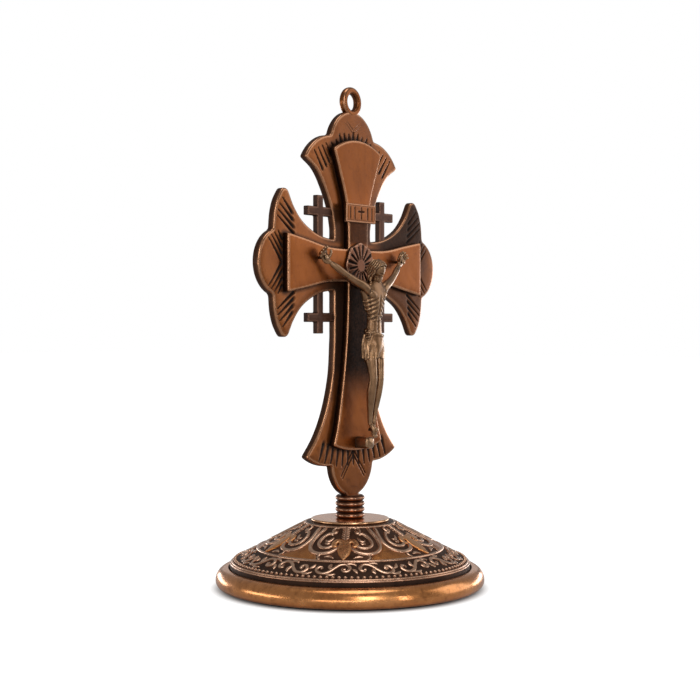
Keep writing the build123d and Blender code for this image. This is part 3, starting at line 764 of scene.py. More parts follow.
def carvedPlate(loop, front, back, strokes=(), bevel=0.55, camber=0.2, camberRun=2.4, grid=0.36,
                wallShadeAndPatina=0.7, shadeAndPatina=None, wave=0.015, hidden=None):
    # a plate: wall and rounded front edge follow the outline, and the face is an even net of points, finer
    # along the strokes; face depth = camber near the edge + strokes + a slow casting wave
    away = outwardOf(loop)
    field = edgeField(loop, away)
    thick = back - front
    bend = np.linspace(0, 1, 6) * math.pi / 2
    insets = np.concatenate([[0.12, 0.0, 0.0], bevel * (1 - np.cos(bend))])
    depths = np.concatenate([[thick, thick - 0.15, thick * 0.55], camber + bevel * (1 - np.sin(bend))])
    inner = loop - away * bevel
    net = evenNet(inner, grid)
    if hidden is not None:
        coarse = evenNet(inner, 2.0)
        net = np.concatenate([net[hidden(net) < 1.2], coarse[hidden(coarse) > 1.5]])
    net = net[field(net) > bevel + grid * 0.6]
    widened = [(*s[:4], s[4] * 1.5, s[5] * 1.5, 1) for s in strokes]
    if len(strokes):
        cut = np.asarray(strokes, float)
        along, across = np.linspace(-0.06, 1.06, 44), np.linspace(-1.15, 1.15, 11)
        run = cut[:, 2:4] - cut[:, :2]
        side = unit(np.stack([-run[:, 1], run[:, 0]], -1))
        half = (cut[:, None, 4] + (cut[:, 5] - cut[:, 4])[:, None] * np.clip(along, 0, 1)) / 2
        lengthwise = along[None, :, None, None] * run[:, None, None]
        crosswise = across[None, None, :, None] * half[:, :, None, None] * side[:, None, None]
        spots = (cut[:, None, None, :2] + lengthwise + crosswise).reshape(-1, 2)
        spots = spots[field(spots) > bevel + 0.12]
        if hidden is not None:
            spots = spots[hidden(spots) < 0.8]
        _, keep = np.unique(np.round(spots / 0.13), axis=0, return_index=True)
        net = np.concatenate([net[strokeDepth(net, widened) <= 0], spots[np.sort(keep)]])
    n = len(loop)
    ring = np.arange(n)
    beside = (ring + 1) % n
    flat, tris, order = fillOutline(inner, net, lambda p: field(p) - bevel * 0.9)
    inside = field(flat)
    inside[order] = bevel
    deep = strokeDepth(flat, strokes) * np.clip((inside - bevel) / 0.5 + 0.15, 0, 1)
    x, z = flat.T
    swell = wave * (np.sin(x * 0.55 + 1.3) * np.cos(z * 0.41 + 0.4) + 0.5 * np.sin(x * 1.3 + z * 0.9))
    face = front + camber * np.clip(1 - (inside - bevel) / camberRun, 0, 1) ** 2 + deep
    face = face + swell * np.clip(inside - bevel, 0, 1)
    facePoints = np.stack([x, face, z], -1)
    rings = np.stack([
        np.stack([(loop - away * i)[:, 0], front + d + 0 * loop[:, 0], (loop - away * i)[:, 1]], -1)
        for i, d in zip(insets[:-1], depths[:-1])])
    k = len(rings)
    backLoop = loop - away * 0.12
    backNet = evenNet(backLoop, 2.2)
    backNet = backNet[field(backNet) > 0.9]
    backFlat, backTris, backOrder = fillOutline(backLoop, backNet, lambda p: field(p) - 0.05)
    backPoints = np.stack([backFlat[:, 0], back + 0 * backFlat[:, 0], backFlat[:, 1]], -1)
    points = np.concatenate([rings.reshape(-1, 3), facePoints, backPoints])
    start = k * n + len(facePoints)
    tris = orientFlat(points, tris + k * n, -1)
    backTris = orientFlat(points, backTris + start, 1)
    walls = np.concatenate([
        sheetFaces(k, n, joinCols=True),
        np.stack([(k - 1) * n + ring, order + k * n, order[beside] + k * n, (k - 1) * n + beside], -1),
        np.stack([backOrder + start, ring, beside, backOrder[beside] + start], -1)])
    normals = np.cross(points[walls[:, 2]] - points[walls[:, 0]], points[walls[:, 3]] - points[walls[:, 1]])
    outside = np.tile(away, (k + 1, 1))
    wrong = normals[:, 0] * outside[:, 0] + normals[:, 2] * outside[:, 1] < 0
    walls[wrong] = walls[wrong][:, ::-1]
    edgeRow = np.array([0.0, 0.1, 0.0, 0.25, 0.6, 0.95, 1.0, 0.9])
    # the side walls are painted dark: patina, and a painted dark reflection
    wallShadeAndPatinaRow = wallShadeAndPatina * np.array([1, 1, 1, 0.8, 0.35, 0, 0, 0])
    # a painted highlight beside each stroke, where a raised burr would catch the light; the outline's edge is
    # rubbed lighter
    widest = [(*s[:4], s[4] * 2.0, s[5] * 2.0, 1.0) for s in strokes]
    strokeGlint = strokeDepth(flat, widest)
    rimShine = 0.85 * np.clip(1 - (inside - bevel) / 0.28, 0, 1)
    faceWearAndGlint = np.maximum(rimShine, 0.55 * strokeGlint * (deep <= 0.02))
    faceGrooveAndShade = np.clip(deep * 4.0, 0, 1)
    # painted shade given by the caller joins the patina in the strokes
    if shadeAndPatina is not None:
        faceGrooveAndShade = np.maximum(faceGrooveAndShade, shadeAndPatina(flat))
    edge = np.concatenate([np.repeat(edgeRow[:k], n), faceWearAndGlint, np.zeros(len(backPoints))])
    groove = np.concatenate([np.repeat(wallShadeAndPatinaRow[:k], n), faceGrooveAndShade, np.full(len(backPoints), 0.1)])
    return {"points": points, "quads": walls, "tris": np.concatenate([tris, backTris]),
            "marks": {"edge": edge, "groove": groove}}


def nearestRows(points, wanted, count):
    # where the first count wanted points ended up among points
    order = np.empty(count, int)
    for start in range(0, count, 500):
        part = wanted[start:min(start + 500, count)]
        order[start:start + len(part)] = ((points[None] - part[:, None]) ** 2).sum(-1).argmin(1)
    return order


def orientFlat(points, tris, sign):
    # turns each triangle so that it looks along +Y or -Y
    a, b, c = points[tris[:, 0]], points[tris[:, 1]], points[tris[:, 2]]
    wrong = np.cross(b - a, c - a)[:, 1] * sign < 0
    tris = tris.copy()
    tris[wrong] = tris[wrong][:, ::-1]
    return tris


bodyCuts = {
    "chevronTilt": 48, "wide": 1.5, "fine": 0.45, "deep": 0.5,
    "crownTeeth": 13, "crownCentre": (0, 124.5), "toothTurn": 8.0,
    "hemRays": 13, "hemCentre": (0, 82.0), "hemTurn": 3.75,
}


def bodyStrokes():
    # every stroke as x0, z0, x1, z1, width at its start, width at its end, depth
    look, strokes = bodyCuts, []
    tilt = math.radians(look["chevronTilt"])
    for side in (-1, 1):
        for level in (-1, 1):
            # on the side lobes: parallel strokes fanning from the raised cross's end, longest in the middle
            for height, length in ((0.4, 8.8), (2.7, 6.9), (5.0, 4.8), (7.2, 2.6)):
                start = np.array([side * 34.9, armHeight + level * height])
                end = start + length * np.array([side * math.cos(tilt), level * math.sin(tilt)])
                strokes.append((*start, *end, look["wide"], look["fine"], look["deep"]))
            # on the four wings: wedges that open towards the raised cross
            for nest in range(4):
                foot = (side * (29.4 + 0.3 * nest), armHeight + level * (8.6 + 2.1 * nest))
                tip = (side * (36.8 - 0.25 * nest * nest), armHeight + level * (13.6 + 1.8 * nest))
                strokes.append((*foot, *tip, look["wide"], look["fine"], look["deep"]))
        # on the crown and the foot leaf: doubled lines that meet in a point
        crown, leaf = (141.4, 36, 5.0, 1.2, 0.4, 0.12), (43.2, -52, 10.2, 1.7, 0.95, 0.42)
        for z, lean, reach, step, wide, deep in (crown, leaf):
            a = math.radians(lean)
            for nest in range(2):
                start = np.array([0, z + math.copysign(step * nest, lean)])
                end = start + (reach - 1.2 * nest) * np.array([side * math.cos(a), math.sin(a)])
                strokes.append((*start, *end, wide, 0.6 * wide, deep))
        for nest in range(4):
            top = (side * (19.6 - 1.9 * nest), 134.8 + 0.85 * nest)
            foot = (side * (15.5 - 1.75 * nest), 129.3 + 1.25 * nest)
            strokes.append((*foot, *top, 1.15, look["fine"], look["deep"]))
    for tooth in range(look["crownTeeth"]):
        # short teeth round the fan, their outer ends at three lengths in turn
        off = tooth - look["crownTeeth"] // 2
        a = math.radians(90 + off * look["toothTurn"])
        way, centre = np.array([math.cos(a), math.sin(a)]), np.array(look["crownCentre"])
        inner = centre + way * (14.2 if abs(off) < 5 else 14.9)
        outer = centre + way * (17.3, 16.5, 17.0)[tooth % 3]
        strokes.append((*inner, *outer, 2.5, 0.9, 0.6))
    for ray in range(look["hemRays"]):
        # broad wedges below the raised cross, longer towards the two points of the hem
        off = ray - (look["hemRays"] - 1) / 2
        a = math.radians(270 + off * look["hemTurn"])
        way, centre = np.array([math.cos(a), math.sin(a)]), np.array(look["hemCentre"])
        start = centre + way * (38.4 if abs(off) < 4 else 39.4)
        end = centre + way * (43.4 + 0.25 * abs(off))
        strokes.append((*start, *end, 1.9, 0.9, 0.6))
    return strokes


frontLoop = frontOutline()
frontField = edgeField(frontLoop, outwardOf(frontLoop))


def shadeByFront(points):
    # painted shade on the back plate: darker close against the raised cross, with patina there, a painted
    # dark reflection over its right-hand wings, and the shaft's painted shade
    x, z = points.T
    out = -frontField(points)
    reach = 1.5 + 0.9 * blendStep(134, 138, z)
    recessShadeAndPatina = 0.9 * np.clip(1 - out / reach, 0, 1) ** 1.2 * (out > -1.0)
    above = blendStep(armHeight - 7, armHeight + 7, z)
    wingDarkReflection = blendStep(6, 17, x) * blendStep(45.5, 35, x) * (
        0.86 * above * blendStep(126, 120, z) + 0.5 * (1 - above) * blendStep(76, 90, z))
    shaft = 0.9 * shaftShade(z) * blendStep(19, 9, np.abs(x))
    return np.maximum(recessShadeAndPatina, np.maximum(wingDarkReflection, shaft))


def shaftShade(z):
    # painted shade and dark reflection, with some grime: the shaft is darker under the arms, again above
    # them, and faintly darker towards the top
    under = blendStep(56, 70, z) * blendStep(99, 93, z)
    over = blendStep(106, 108, z) * blendStep(119, 117, z)
    return np.maximum(under, 0.75 * over) + 0.15 * blendStep(119, 128, z)


def shadeShaft(points):
    # the same painted shade on the raised cross, kept off its arms
    x, z = points.T
    return 0.95 * shaftShade(z) * blendStep(12.5, 9.0, np.abs(x))


plateCopper = copperMaterial("backPlate", lacquer=0.12)
frontCopper = copperMaterial("frontPlate", lacquer=0.08, brushed=0.4)
smallCrossShadeCopper = copperMaterial("smallCross", lacquer=0.1)
crossBody = carvedPlate(bodyOutline(), bodyFront, bodyBack, bodyStrokes(), shadeAndPatina=shadeByFront,
                        wallShadeAndPatina=0.8, hidden=frontField)
makePiece("crossBody", [crossBody], plateCopper, ["cross_body"], 50)
frontCross = carvedPlate(frontLoop, frontFace, bodyFront + 0.3, bevel=0.5, camber=0.1, wallShadeAndPatina=0.95,
                         shadeAndPatina=shadeShaft)
makePiece("frontCross", [frontCross], frontCopper, ["front_cross"], 50)

smallCrossFit = {"near": 7.0, "bar": 1.4, "middle": (16.0, 16.1), "reach": (22, 21),
                 "front": -1.0, "back": 1.0}


def smallCross(side, level):
    # two crossing bars that start at the plate's edge, with softened corners
    near, bar = smallCrossFit["near"], smallCrossFit["bar"]
    (x, z), (farX, farZ) = smallCrossFit["middle"], smallCrossFit["reach"]
    corners = np.array([
        (x - bar, near), (x + bar, near), (x + bar, z - bar), (farX, z - bar), (farX, z + bar),
            (x + bar, z + bar),
        (x + bar, farZ), (x - bar, farZ), (x - bar, z + bar), (near, z + bar),
            (near, z - bar), (x - bar, z - bar)])
    loop = evenLoop(corners, 0.2)
    loop = 0.5 * loop + 0.25 * (np.roll(loop, 1, 0) + np.roll(loop, -1, 0))
    return loop * (side, level) + (0, armHeight)


for level, row in ((1, "upper"), (-1, "lower")):
    for side, hand in ((-1, "left"), (1, "right")):
        place = row + "_" + hand
        bars = carvedPlate(smallCross(side, level), smallCrossFit["front"], smallCrossFit["back"],
                           bevel=0.35, camber=0.08, camberRun=1.2, wallShadeAndPatina=0.5)
        makePiece("smallCross." + place, [bars], smallCrossShadeCopper, ["corner_cross_" + place], 50)

plaqueFit = {"level": 116.6, "bars": (-5.5, -3.3, 3.3, 5.5), "half": (7.0, 2.35)}


def plaqueMarks():
    # a small cross between upright bars, in a thin border, stands where a title would be
    z, (wide, high) = plaqueFit["level"], plaqueFit["half"]
    marks = [(0, z - 1.7, 0, z + 1.7, 0.75, 0.75, 0.3), (-1.3, z + 0.5, 1.3, z + 0.5, 0.75, 0.75, 0.3)]
    marks += [(x, z - 1.7, x, z + 1.7, 0.65, 0.65, 0.3) for x in plaqueFit["bars"]]
    box = [(-wide, z - high), (wide, z - high), (wide, z + high), (-wide, z + high)]
    marks += [(*p, *q, 0.35, 0.35, 0.16) for p, q in zip(box, box[1:] + box[:1])]
    return marks


plaqueLoop = evenLoop(np.array([(-7.6, 113.7), (7.6, 113.7), (7.6, 119.5), (-7.6, 119.5)]), 0.2)
titlePlaque = carvedPlate(plaqueLoop, -4.5, -3.45, plaqueMarks(), bevel=0.3, camber=0.05, grid=0.25)
makePiece("titlePlaque", [titlePlaque], plateCopper, ["title_plaque"], 50)

nimbusFit = {"rays": 16, "radius": 7.0, "ripple": 0.18, "front": -4.4, "back": -3.45}


def nimbusStrokes():
    # rays: long and short cuts by turns round the disc
    strokes = []
    for ray in range(nimbusFit["rays"]):
        a = (ray + 0.5) * turn / nimbusFit["rays"]
        way = np.array([math.cos(a), math.sin(a)])
        middle = np.array([0, armHeight])
        start, end = middle + way * 2.4, middle + way * (6.6 if ray % 2 else 5.6)
        strokes.append((*start, *end, 0.75, 1.35 if ray % 2 else 0.9, 0.55))
    return strokes


a = np.linspace(0, turn, 240, endpoint=False)
nimbusRadius = nimbusFit["radius"] + nimbusFit["ripple"] * np.cos(8 * a)
nimbusLoop = np.stack([nimbusRadius * np.cos(a), armHeight + nimbusRadius * np.sin(a)], -1)
nimbusDisc = carvedPlate(nimbusLoop, nimbusFit["front"], nimbusFit["back"], nimbusStrokes(),
                         bevel=0.35, camber=0.12, grid=0.25)
makePiece("nimbusDisc", [nimbusDisc], copperMaterial("neckCopper", lacquer=0.1),
          ["nimbus"], 50)

loopFit = {"eye": 3.575, "middle": (-0.15, 151.4), "half": (1.12, 1.2)}


def loopRing():
    # a band bent into a ring: an oval section carried round the eye, with a soft flat on its outside
    steps, around = 160, 28
    a = np.arange(steps) / steps * turn
    t = np.arange(around) / around * turn
    (y, z), (thick, deep) = loopFit["middle"], loopFit["half"]
    reach = loopFit["eye"] + thick * np.sign(np.cos(t)) * np.abs(np.cos(t)) ** 0.8
    depth = y + deep * np.sign(np.sin(t)) * np.abs(np.sin(t)) ** 0.85
    points = np.stack([
        reach[None] * np.cos(a)[:, None], depth[None] + 0 * a[:, None],
        z + reach[None] * np.sin(a)[:, None]], -1)
    shine = 0.8 * blendStep(0.5, 1.0, np.abs(np.cos(t) * np.sin(t)) * 2) * (np.cos(t) > 0)
    # darker on the inside of the eye
    grime = 0.5 * blendStep(0.4, 1.0, -np.cos(t))
    faces = sheetFaces(steps, around, True, True)
    return shell(points.reshape(-1, 3), faces, edge=np.tile(shine, steps), groove=np.tile(grime, steps))


makePiece("hangingLoop", [loopRing()], plateCopper, ["hanging_loop"], 60)
print("cross plates done")


# the figure: limbs, trunk, head and cloth, fused as castings and then worked over

figure = {
    "voxel": 0.15, "headVoxel": 0.105, "headMiddle": (-0.35, -10.85, 99.0), "headNod": 33, "headTip": 7,
    "headSize": 0.90, "clothTop": 80.0, "clothHem": 72.0, "ribPitch": 1.45,
}


def limb(knots, sizes, up=(0, -1, 0), count=34, ring=22):
    # a limb along a curved line: its two half widths pass smoothly through the given pairs
    path = smoothLine(knots, count)
    t = np.linspace(0, 1, count)
    at = np.linspace(0, 1, len(sizes))
    sizes = np.asarray(sizes, float)
    spread = smoothLine(np.concatenate([at[:, None], sizes], 1), 120)
    wide, high = [np.interp(t, spread[:, 0], spread[:, column]) for column in (1, 2)]
    ends = softEnds(count, 0.07, 0.15)
    return rope(path, np.asarray(up, float), wide * ends, high * ends, ring)


def trunkShell():
    # flattened ovals stacked from hips to neck: level, middle across, middle in depth, half width and
    # half depth
    rows = np.array([
        (71.6, 0, -8.9, 2.0, 1.3), (73.4, 0, -8.9, 3.2, 2.0), (76.0, 0, -8.95, 3.55, 2.2),
        (78.6, 0, -9.0, 3.35, 2.0), (81.2, 0, -9.2, 2.95, 1.75), (83.6, 0, -9.35, 2.85, 1.7),
        (86.2, 0, -9.5, 3.2, 1.9), (89.0, 0, -9.7, 3.75, 2.15), (91.6, 0, -9.75, 4.2, 2.15),
        (93.6, 0, -9.7, 4.3, 1.85), (94.9, 0, -9.75, 3.0, 1.45), (95.8, 0, -9.9, 1.6, 1.25),
    ])
    dense = smoothLine(rows, 90)
    a = np.arange(56) / 56 * turn
    square = 0.86
    across, deep = [np.sign(v) * np.abs(v) ** square for v in (np.cos(a), np.sin(a))]
    x, y = dense[:, 1:2] + dense[:, 3:4] * across, dense[:, 2:3] + dense[:, 4:5] * deep
    return tube(np.stack([x, y, dense[:, 0:1] + 0 * x], -1))


sideLimbs = [
    # knots, half widths, steps and ring; first the arm from the chest to the wrist
    ([(3.4, -9.7, 92.4), (5.6, -9.4, 93.9), (9.2, -8.6, 95.5), (12.6, -7.8, 97.4), (15.4, -6.9, 99.2),
      (18.2, -5.9, 101.0)],
     [(1.4, 1.4), (1.5, 1.5), (1.28, 1.25), (1.0, 0.98), (1.05, 0.92), (0.66, 0.58)], 60, 22),
    # the swell of shoulder, breast and back
    ([(3.1, -10.2, 91.8), (4.8, -10.0, 93.0), (6.8, -9.5, 94.4)],
     [(1.2, 0.8), (1.2, 0.9), (0.8, 0.7)], 34, 22),
    ([(0.9, -10.9, 91.5), (2.4, -10.95, 91.3), (3.9, -10.5, 92.3)],
     [(1.0, 0.75), (1.4, 0.95), (1.0, 0.85)], 34, 22),
    ([(2.9, -9.2, 85.8), (3.8, -9.0, 89.5), (5.5, -8.9, 92.8)],
     [(0.6, 1.0), (0.9, 1.25), (0.7, 0.85)], 34, 22),
    # the leg in one run of thigh, knee, calf and ankle, then kneecap and ankle bone
    ([(1.9, -8.9, 75.6), (2.0, -9.5, 71.4), (1.85, -10.1, 67.2), (1.75, -10.2, 65.0), (1.65, -9.5, 61.6),
      (1.4, -8.9, 57.6), (1.05, -8.5, 53.6), (0.8, -8.4, 50.8)],
     [(1.8, 1.9), (1.75, 1.9), (1.4, 1.5), (1.25, 1.3), (1.3, 1.45),
      (1.1, 1.2), (0.75, 0.85), (0.68, 0.8)], 110, 22),
    ([(1.8, -11.05, 66.6), (1.75, -11.15, 65.6), (1.75, -11.0, 64.7)],
     [(0.55, 0.3), (0.65, 0.38), (0.5, 0.28)], 16, 22),
    ([(1.25, -8.5, 51.8), (1.25, -8.6, 51.0)], [(0.36, 0.5), (0.32, 0.42)], 10, 22),
    # the hand: palm and thumb
    ([(17.9, -5.95, 100.7), (19.2, -5.45, 101.8), (20.4, -5.3, 103.5)],
     [(0.72, 0.6), (1.5, 0.7), (1.6, 0.62)], 20, 22),
    ([(18.7, -5.8, 101.9), (18.3, -6.6, 103.4), (18.8, -7.0, 104.8)],
     [(0.5, 0.5), (0.46, 0.44), (0.32, 0.32)], 14, 12),
]

# the feet, the right laid over the left with toes down, and the neck
middleLimbs = [
    ([(0.8, -8.1, 50.9), (0.65, -8.6, 49.3), (0.45, -8.7, 47.9)],
     [(0.8, 0.9), (1.0, 0.75), (1.05, 0.5)], 24, 22),
    ([(-0.8, -8.6, 51.1), (-0.5, -9.6, 49.9), (-0.05, -9.8, 48.1)],
     [(0.8, 0.95), (0.98, 0.75), (1.02, 0.45)], 24, 22),
    ([(0, -9.7, 94.0), (-0.15, -10.0, 95.6), (-0.3, -10.6, 97.4)],
     [(1.35, 1.3), (1.25, 1.2), (1.3, 1.2)], 20, 22),
]


def fingers():
    # four fingers a little curled, as limbs: each bends forward past its knuckle
    limbs = []
    for finger, length in enumerate((2.2, 2.6, 2.4, 1.9)):
        root = np.array([19.3 + 0.76 * finger, -5.4, 103.7 - 0.36 * finger])
        way = np.array([0.22 + 0.11 * finger, -0.20, 0.92 - 0.08 * finger])
        knuckle, tip = root + way * length * 0.55, root + way * length + np.array([0, -0.85, -0.15])
        knots = [root - 0.6 * way, root, knuckle, tip]
        limbs.append((knots, [(0.50, 0.48), (0.50, 0.47), (0.46, 0.43), (0.34, 0.34)], 16, 12))
    return limbs


def flesh():
    # trunk, then each side's limbs and fingers, then feet, neck and toes
    parts = [trunkShell()]
    for side in (-1, 1):
        for knots, sizes, count, ring in sideLimbs + fingers():
            parts.append(limb([(side * x, y, z) for x, y, z in knots], sizes, count=count, ring=ring))
    parts += [limb(knots, sizes, count=count, ring=ring) for knots, sizes, count, ring in middleLimbs]
    for toe in range(5):
        x = -0.85 + 0.38 * toe
        over = [(x, -9.7, 48.3), (x - 0.05, -9.95, 47.65), (x - 0.1, -9.8, 47.1)]
        parts.append(limb(over, [(0.26, 0.26), (0.26, 0.24), (0.18, 0.18)], count=8, ring=10))
        under = [(x + 0.75, -8.65, 48.0), (x + 0.8, -8.85, 47.5)]
        parts.append(limb(under, [(0.25, 0.24), (0.2, 0.2)], count=6, ring=10))
    return parts


def headFrame():
    # the head's own axes: across, forward along the nose, and up through the crown
    nod, tip = math.radians(figure["headNod"]), math.radians(figure["headTip"])
    forward = np.array([0, -math.cos(nod), -math.sin(nod)])
    up = np.array([0, -math.sin(nod), math.cos(nod)])
    across = np.array([1.0, 0, 0])
    return across * math.cos(tip) + up * math.sin(tip), forward, up * math.cos(tip) - across * math.sin(tip)


def headPoint(x, f, u):
    # a point given across, forward and up in the head's own axes, in head sizes
    across, forward, up = headFrame()
    x, f, u = [np.asarray(v, float)[..., None] * figure["headSize"] for v in (x, f, u)]
    return np.asarray(figure["headMiddle"]) + x * across + f * forward + u * up


def headShell():
    # an egg whose radius changes with direction: brow, closed eyes, nose, lips, cheeks, chin and a short
    # beard are soft bumps and hollows on it, placed on plain thirds of the face
    lat, lon = np.meshgrid(
        np.linspace(0.01, math.pi - 0.01, 150), np.arange(220) / 220 * turn, indexing="ij")
    x, f, u = np.sin(lat) * np.sin(lon), np.sin(lat) * np.cos(lon), np.cos(lat)
    front = blendStep(0.1, 0.5, f)

    def bump(x0, u0, wide, tall, height):
        # a bell-shaped swelling or hollow on the front of the face
        return height * np.exp(-((x - x0) / wide) ** 2 - ((u - u0) / tall) ** 2) * front

    width = 2.3 * (1 - 0.30 * blendStep(0.05, -0.95, u) * blendStep(-0.6, 0.4, f))
    radius = 1 / np.sqrt((x / width) ** 2 + (f / 2.75) ** 2 + (u / 3.25) ** 2)
    radius = radius + bump(0, 0.20, 0.40, 0.065, 0.20) + bump(0, 0.45, 0.4, 0.2, 0.10)
    for s in (-1, 1):
        radius = radius + bump(s * 0.30, 0.05, 0.15, 0.085, -0.40) + bump(s * 0.30, 0.03, 0.105, 0.05, 0.27)
        radius = radius + bump(s * 0.30, -0.015, 0.12, 0.015, -0.10) + bump(s * 0.44, -0.14, 0.15, 0.11, 0.18)
        radius = radius + bump(s * 0.095, -0.235, 0.05, 0.045, 0.28)
        radius = radius + bump(s * 0.14, -0.36, 0.12, 0.035, 0.20)
        radius = radius + bump(s * 0.36, -0.38, 0.10, 0.16, -0.14)
    radius = radius + bump(0, 0.0, 0.065, 0.15, 0.40) + bump(0, -0.19, 0.085, 0.08, 0.80)
    radius = radius + bump(0, -0.415, 0.14, 0.025, 0.14) + bump(0, -0.452, 0.17, 0.014, -0.22)
    radius = radius + bump(0, -0.49, 0.11, 0.028, 0.18)
    jaw = blendStep(-0.36, -0.62, u + 0.25 * np.abs(x)) * blendStep(0.05, 0.45, f)
    strand = np.sin(26 * x + 7 * u + 1.2 * np.sin(9 * u)) * 0.075
    radius = radius + jaw * (0.42 + strand)
    return tube(headPoint(radius * x, radius * f, radius * u))


def hairLocks():
    # wavy locks from the parting over the skull, past the ears and down onto the shoulders
    locks = []
    for s in (-1, 1):
        for k in range(15):
            u0 = k / 14
            back = 1.15 - 3.6 * u0
            sway = 0.22 * math.sin(k * 2.3)
            top = np.array([
                (s * 0.10, back * 0.86 + 0.5, 3.12 - 0.12 * abs(back)),
                (s * 1.3, back * 0.92 + 0.3, 2.85 - 0.1 * abs(back)),
                (s * 2.25, back * 0.9, 1.25), (s * 2.5, back * 0.8 - 0.2, -0.5),
            ])
            over = headPoint(*top.T)
            fall = np.array([
                (s * (2.35 + sway), -10.0 + 0.8 * u0 + 0.1 * sway, 96.6 - 0.2 * u0),
                (s * (2.5 - 0.7 * u0 + sway), -10.3 + 1.6 * u0, 95.0 - 0.35 * abs(math.sin(k * 1.7)))])
            fall[:, 0] += -0.3
            path = smoothLine(np.concatenate([over, fall]), 54)
            t = np.linspace(0, 1, 54)
            path[:, 0] += 0.14 * np.sin(t * 17 + k * 1.9) * blendStep(0.15, 0.5, t)
            path[:, 1] += 0.14 * np.cos(t * 15 + k * 2.6) * blendStep(0.15, 0.5, t)
            size = np.interp(t, [0, 0.1, 0.5, 0.85, 1], [0.22, 0.36, 0.44, 0.36, 0.10])
            locks.append(rope(path, np.array([0.3 * s, -0.5, 0.8]), size, size * 0.85, 10))
    for k in range(11):
        # beard: short pointed tufts under the jaw
        a = math.radians(-62 + 124 * k / 10)
        start = (1.55 * math.sin(a), 1.6 + 0.75 * math.cos(a), -1.55 - 0.45 * math.cos(a))
        end = (0.65 * math.sin(a), 1.75 + 0.55 * math.cos(a), -3.35 - 0.75 * math.cos(a))
        middle = [(p + q) / 2 for p, q in zip(start, end)]
        middle[1] += 0.28
        path = smoothLine(headPoint(*np.array([start, middle, end]).T), 20)
        t = np.linspace(0, 1, 20)
        path[:, 0] += 0.07 * np.sin(t * 9 + k * 2)
        wide, high = [np.interp(t, [0, 0.4, 1], half) for half in ((0.30, 0.36, 0.08), (0.3, 0.34, 0.08))]
        locks.append(rope(path, np.array([0, -1.0, 0.2]), wide, high, 10))
    return locks


def combHair(points, normals):
    # strands: a sine along the head's depth that bends with height, kept off the face
    local = (points - figure["headMiddle"]) / figure["headSize"]
    x, f, u = [local @ way for way in headFrame()]
    face = blendStep(0.7, 1.3, f) * blendStep(2.2, 1.9, np.abs(x)) * blendStep(2.4, 1.9, u)
    strand = np.sin(7.5 * f + 0.9 * np.sin(2.2 * u) + 0.5 * np.sin(3 * x)) + 0.4 * np.sin(17 * f + 1.5 * u)
    return points + normals * (0.10 * (1 - face) * strand)[:, None]


def clothShell():
    # a cloth wound close round the hips: radius follows the hips, with broad folds that sweep down from
    # the knot at the right hip and deepen towards the hem
    levels, steps = 110, 300
    v, a = np.meshgrid(np.linspace(0, 1, levels), np.arange(steps) / steps * turn, indexing="ij")
    side, front = np.cos(a), -np.sin(a)
    hem = figure["clothHem"] + 0.45 * np.sin(2 * a + 0.6) - 1.3 * blendStep(0.2, 1.0, -side)
    hem = hem + 0.15 * np.sin(7 * a)
    top = figure["clothTop"] - 0.8 * side - 0.5 * front
    z = top + (hem - top) * v
    wide = np.interp(z, [69, 73, 76, 79, 82], [3.55, 3.75, 3.85, 3.55, 3.1]) + 0.12
    deep = np.interp(z, [69, 73, 76, 79, 82], [2.45, 2.5, 2.5, 2.3, 1.95]) + 0.12
    sweep = (a - 3.3) * 1.6 + 2.2 * v
    fold = 0.75 * np.sin(2.6 * sweep + 2.4 * v * side)
    fold = fold + 0.45 * np.sin(6.5 * sweep - 3.0 * v) * (0.4 + 0.6 * v)
    seam = blendStep(0.0, 0.35, a) * blendStep(turn, turn - 0.35, a)
    crease = np.abs(fold) ** 0.6 * np.sign(fold) * seam
    lift = (0.06 + 0.20 * v) * crease
    roll = 0.30 * np.exp(-((v - 0.06) / 0.06) ** 2) * (1 + 0.4 * np.sin(13 * a + 25 * v))
    reach = 1 + (lift + roll) / 3.4
    x, y = wide * reach * side, -9.1 - 0.3 * v - deep * reach * front
    outer = np.stack([x, y, z], -1)
    inner = np.stack([x * 0.84, -9.1 + (y + 9.1) * 0.82, z + 0.12], -1)
    rings = np.concatenate([outer, inner[::-1]])
    skin = shell(rings.reshape(-1, 3), sheetFaces(2 * levels, steps, True, True))
    drape = []
    for k in range(4):
        # the loose end, gathered at the right hip and hanging in narrow folds
        t = np.linspace(0, 1, 40)
        across = -3.85 - 0.15 * (k % 2) - 0.35 * t + 0.2 * np.sin(5 * t + k)
        forward = -10.1 + 0.6 * k + 0.2 * np.sin(4 * t + k * 1.7)
        level = 79.2 - (7.6 + 0.5 * math.sin(k * 2.1)) * t
        wide = np.interp(t, [0, 0.15, 1], [0.28, 0.42, 0.5])
        high = np.interp(t, [0, 0.2, 1], [0.36, 0.34, 0.3])
        path = np.stack([across, forward, level], -1)
        drape.append(rope(path, np.array([-1.0, -0.3, 0]), wide, high, 12))
    return [skin, *drape, *coilKnot()]


def coilKnot():
    # the knot at the right hip: two short loops crossed over one another
    t = np.linspace(0, turn, 40)
    loops = []
    for tilt in (0.5, -0.7):
        across, forward = -3.95 + 0.25 * np.cos(2 * t), -9.9 + 0.62 * np.cos(t + tilt)
        path = np.stack([across, forward, 79.0 + 0.75 * np.sin(t)], -1)
        loops.append(rope(path, np.array([-1.0, 0, 0]), 0.32 + 0 * t, 0.34 + 0 * t, 12))
    return loops


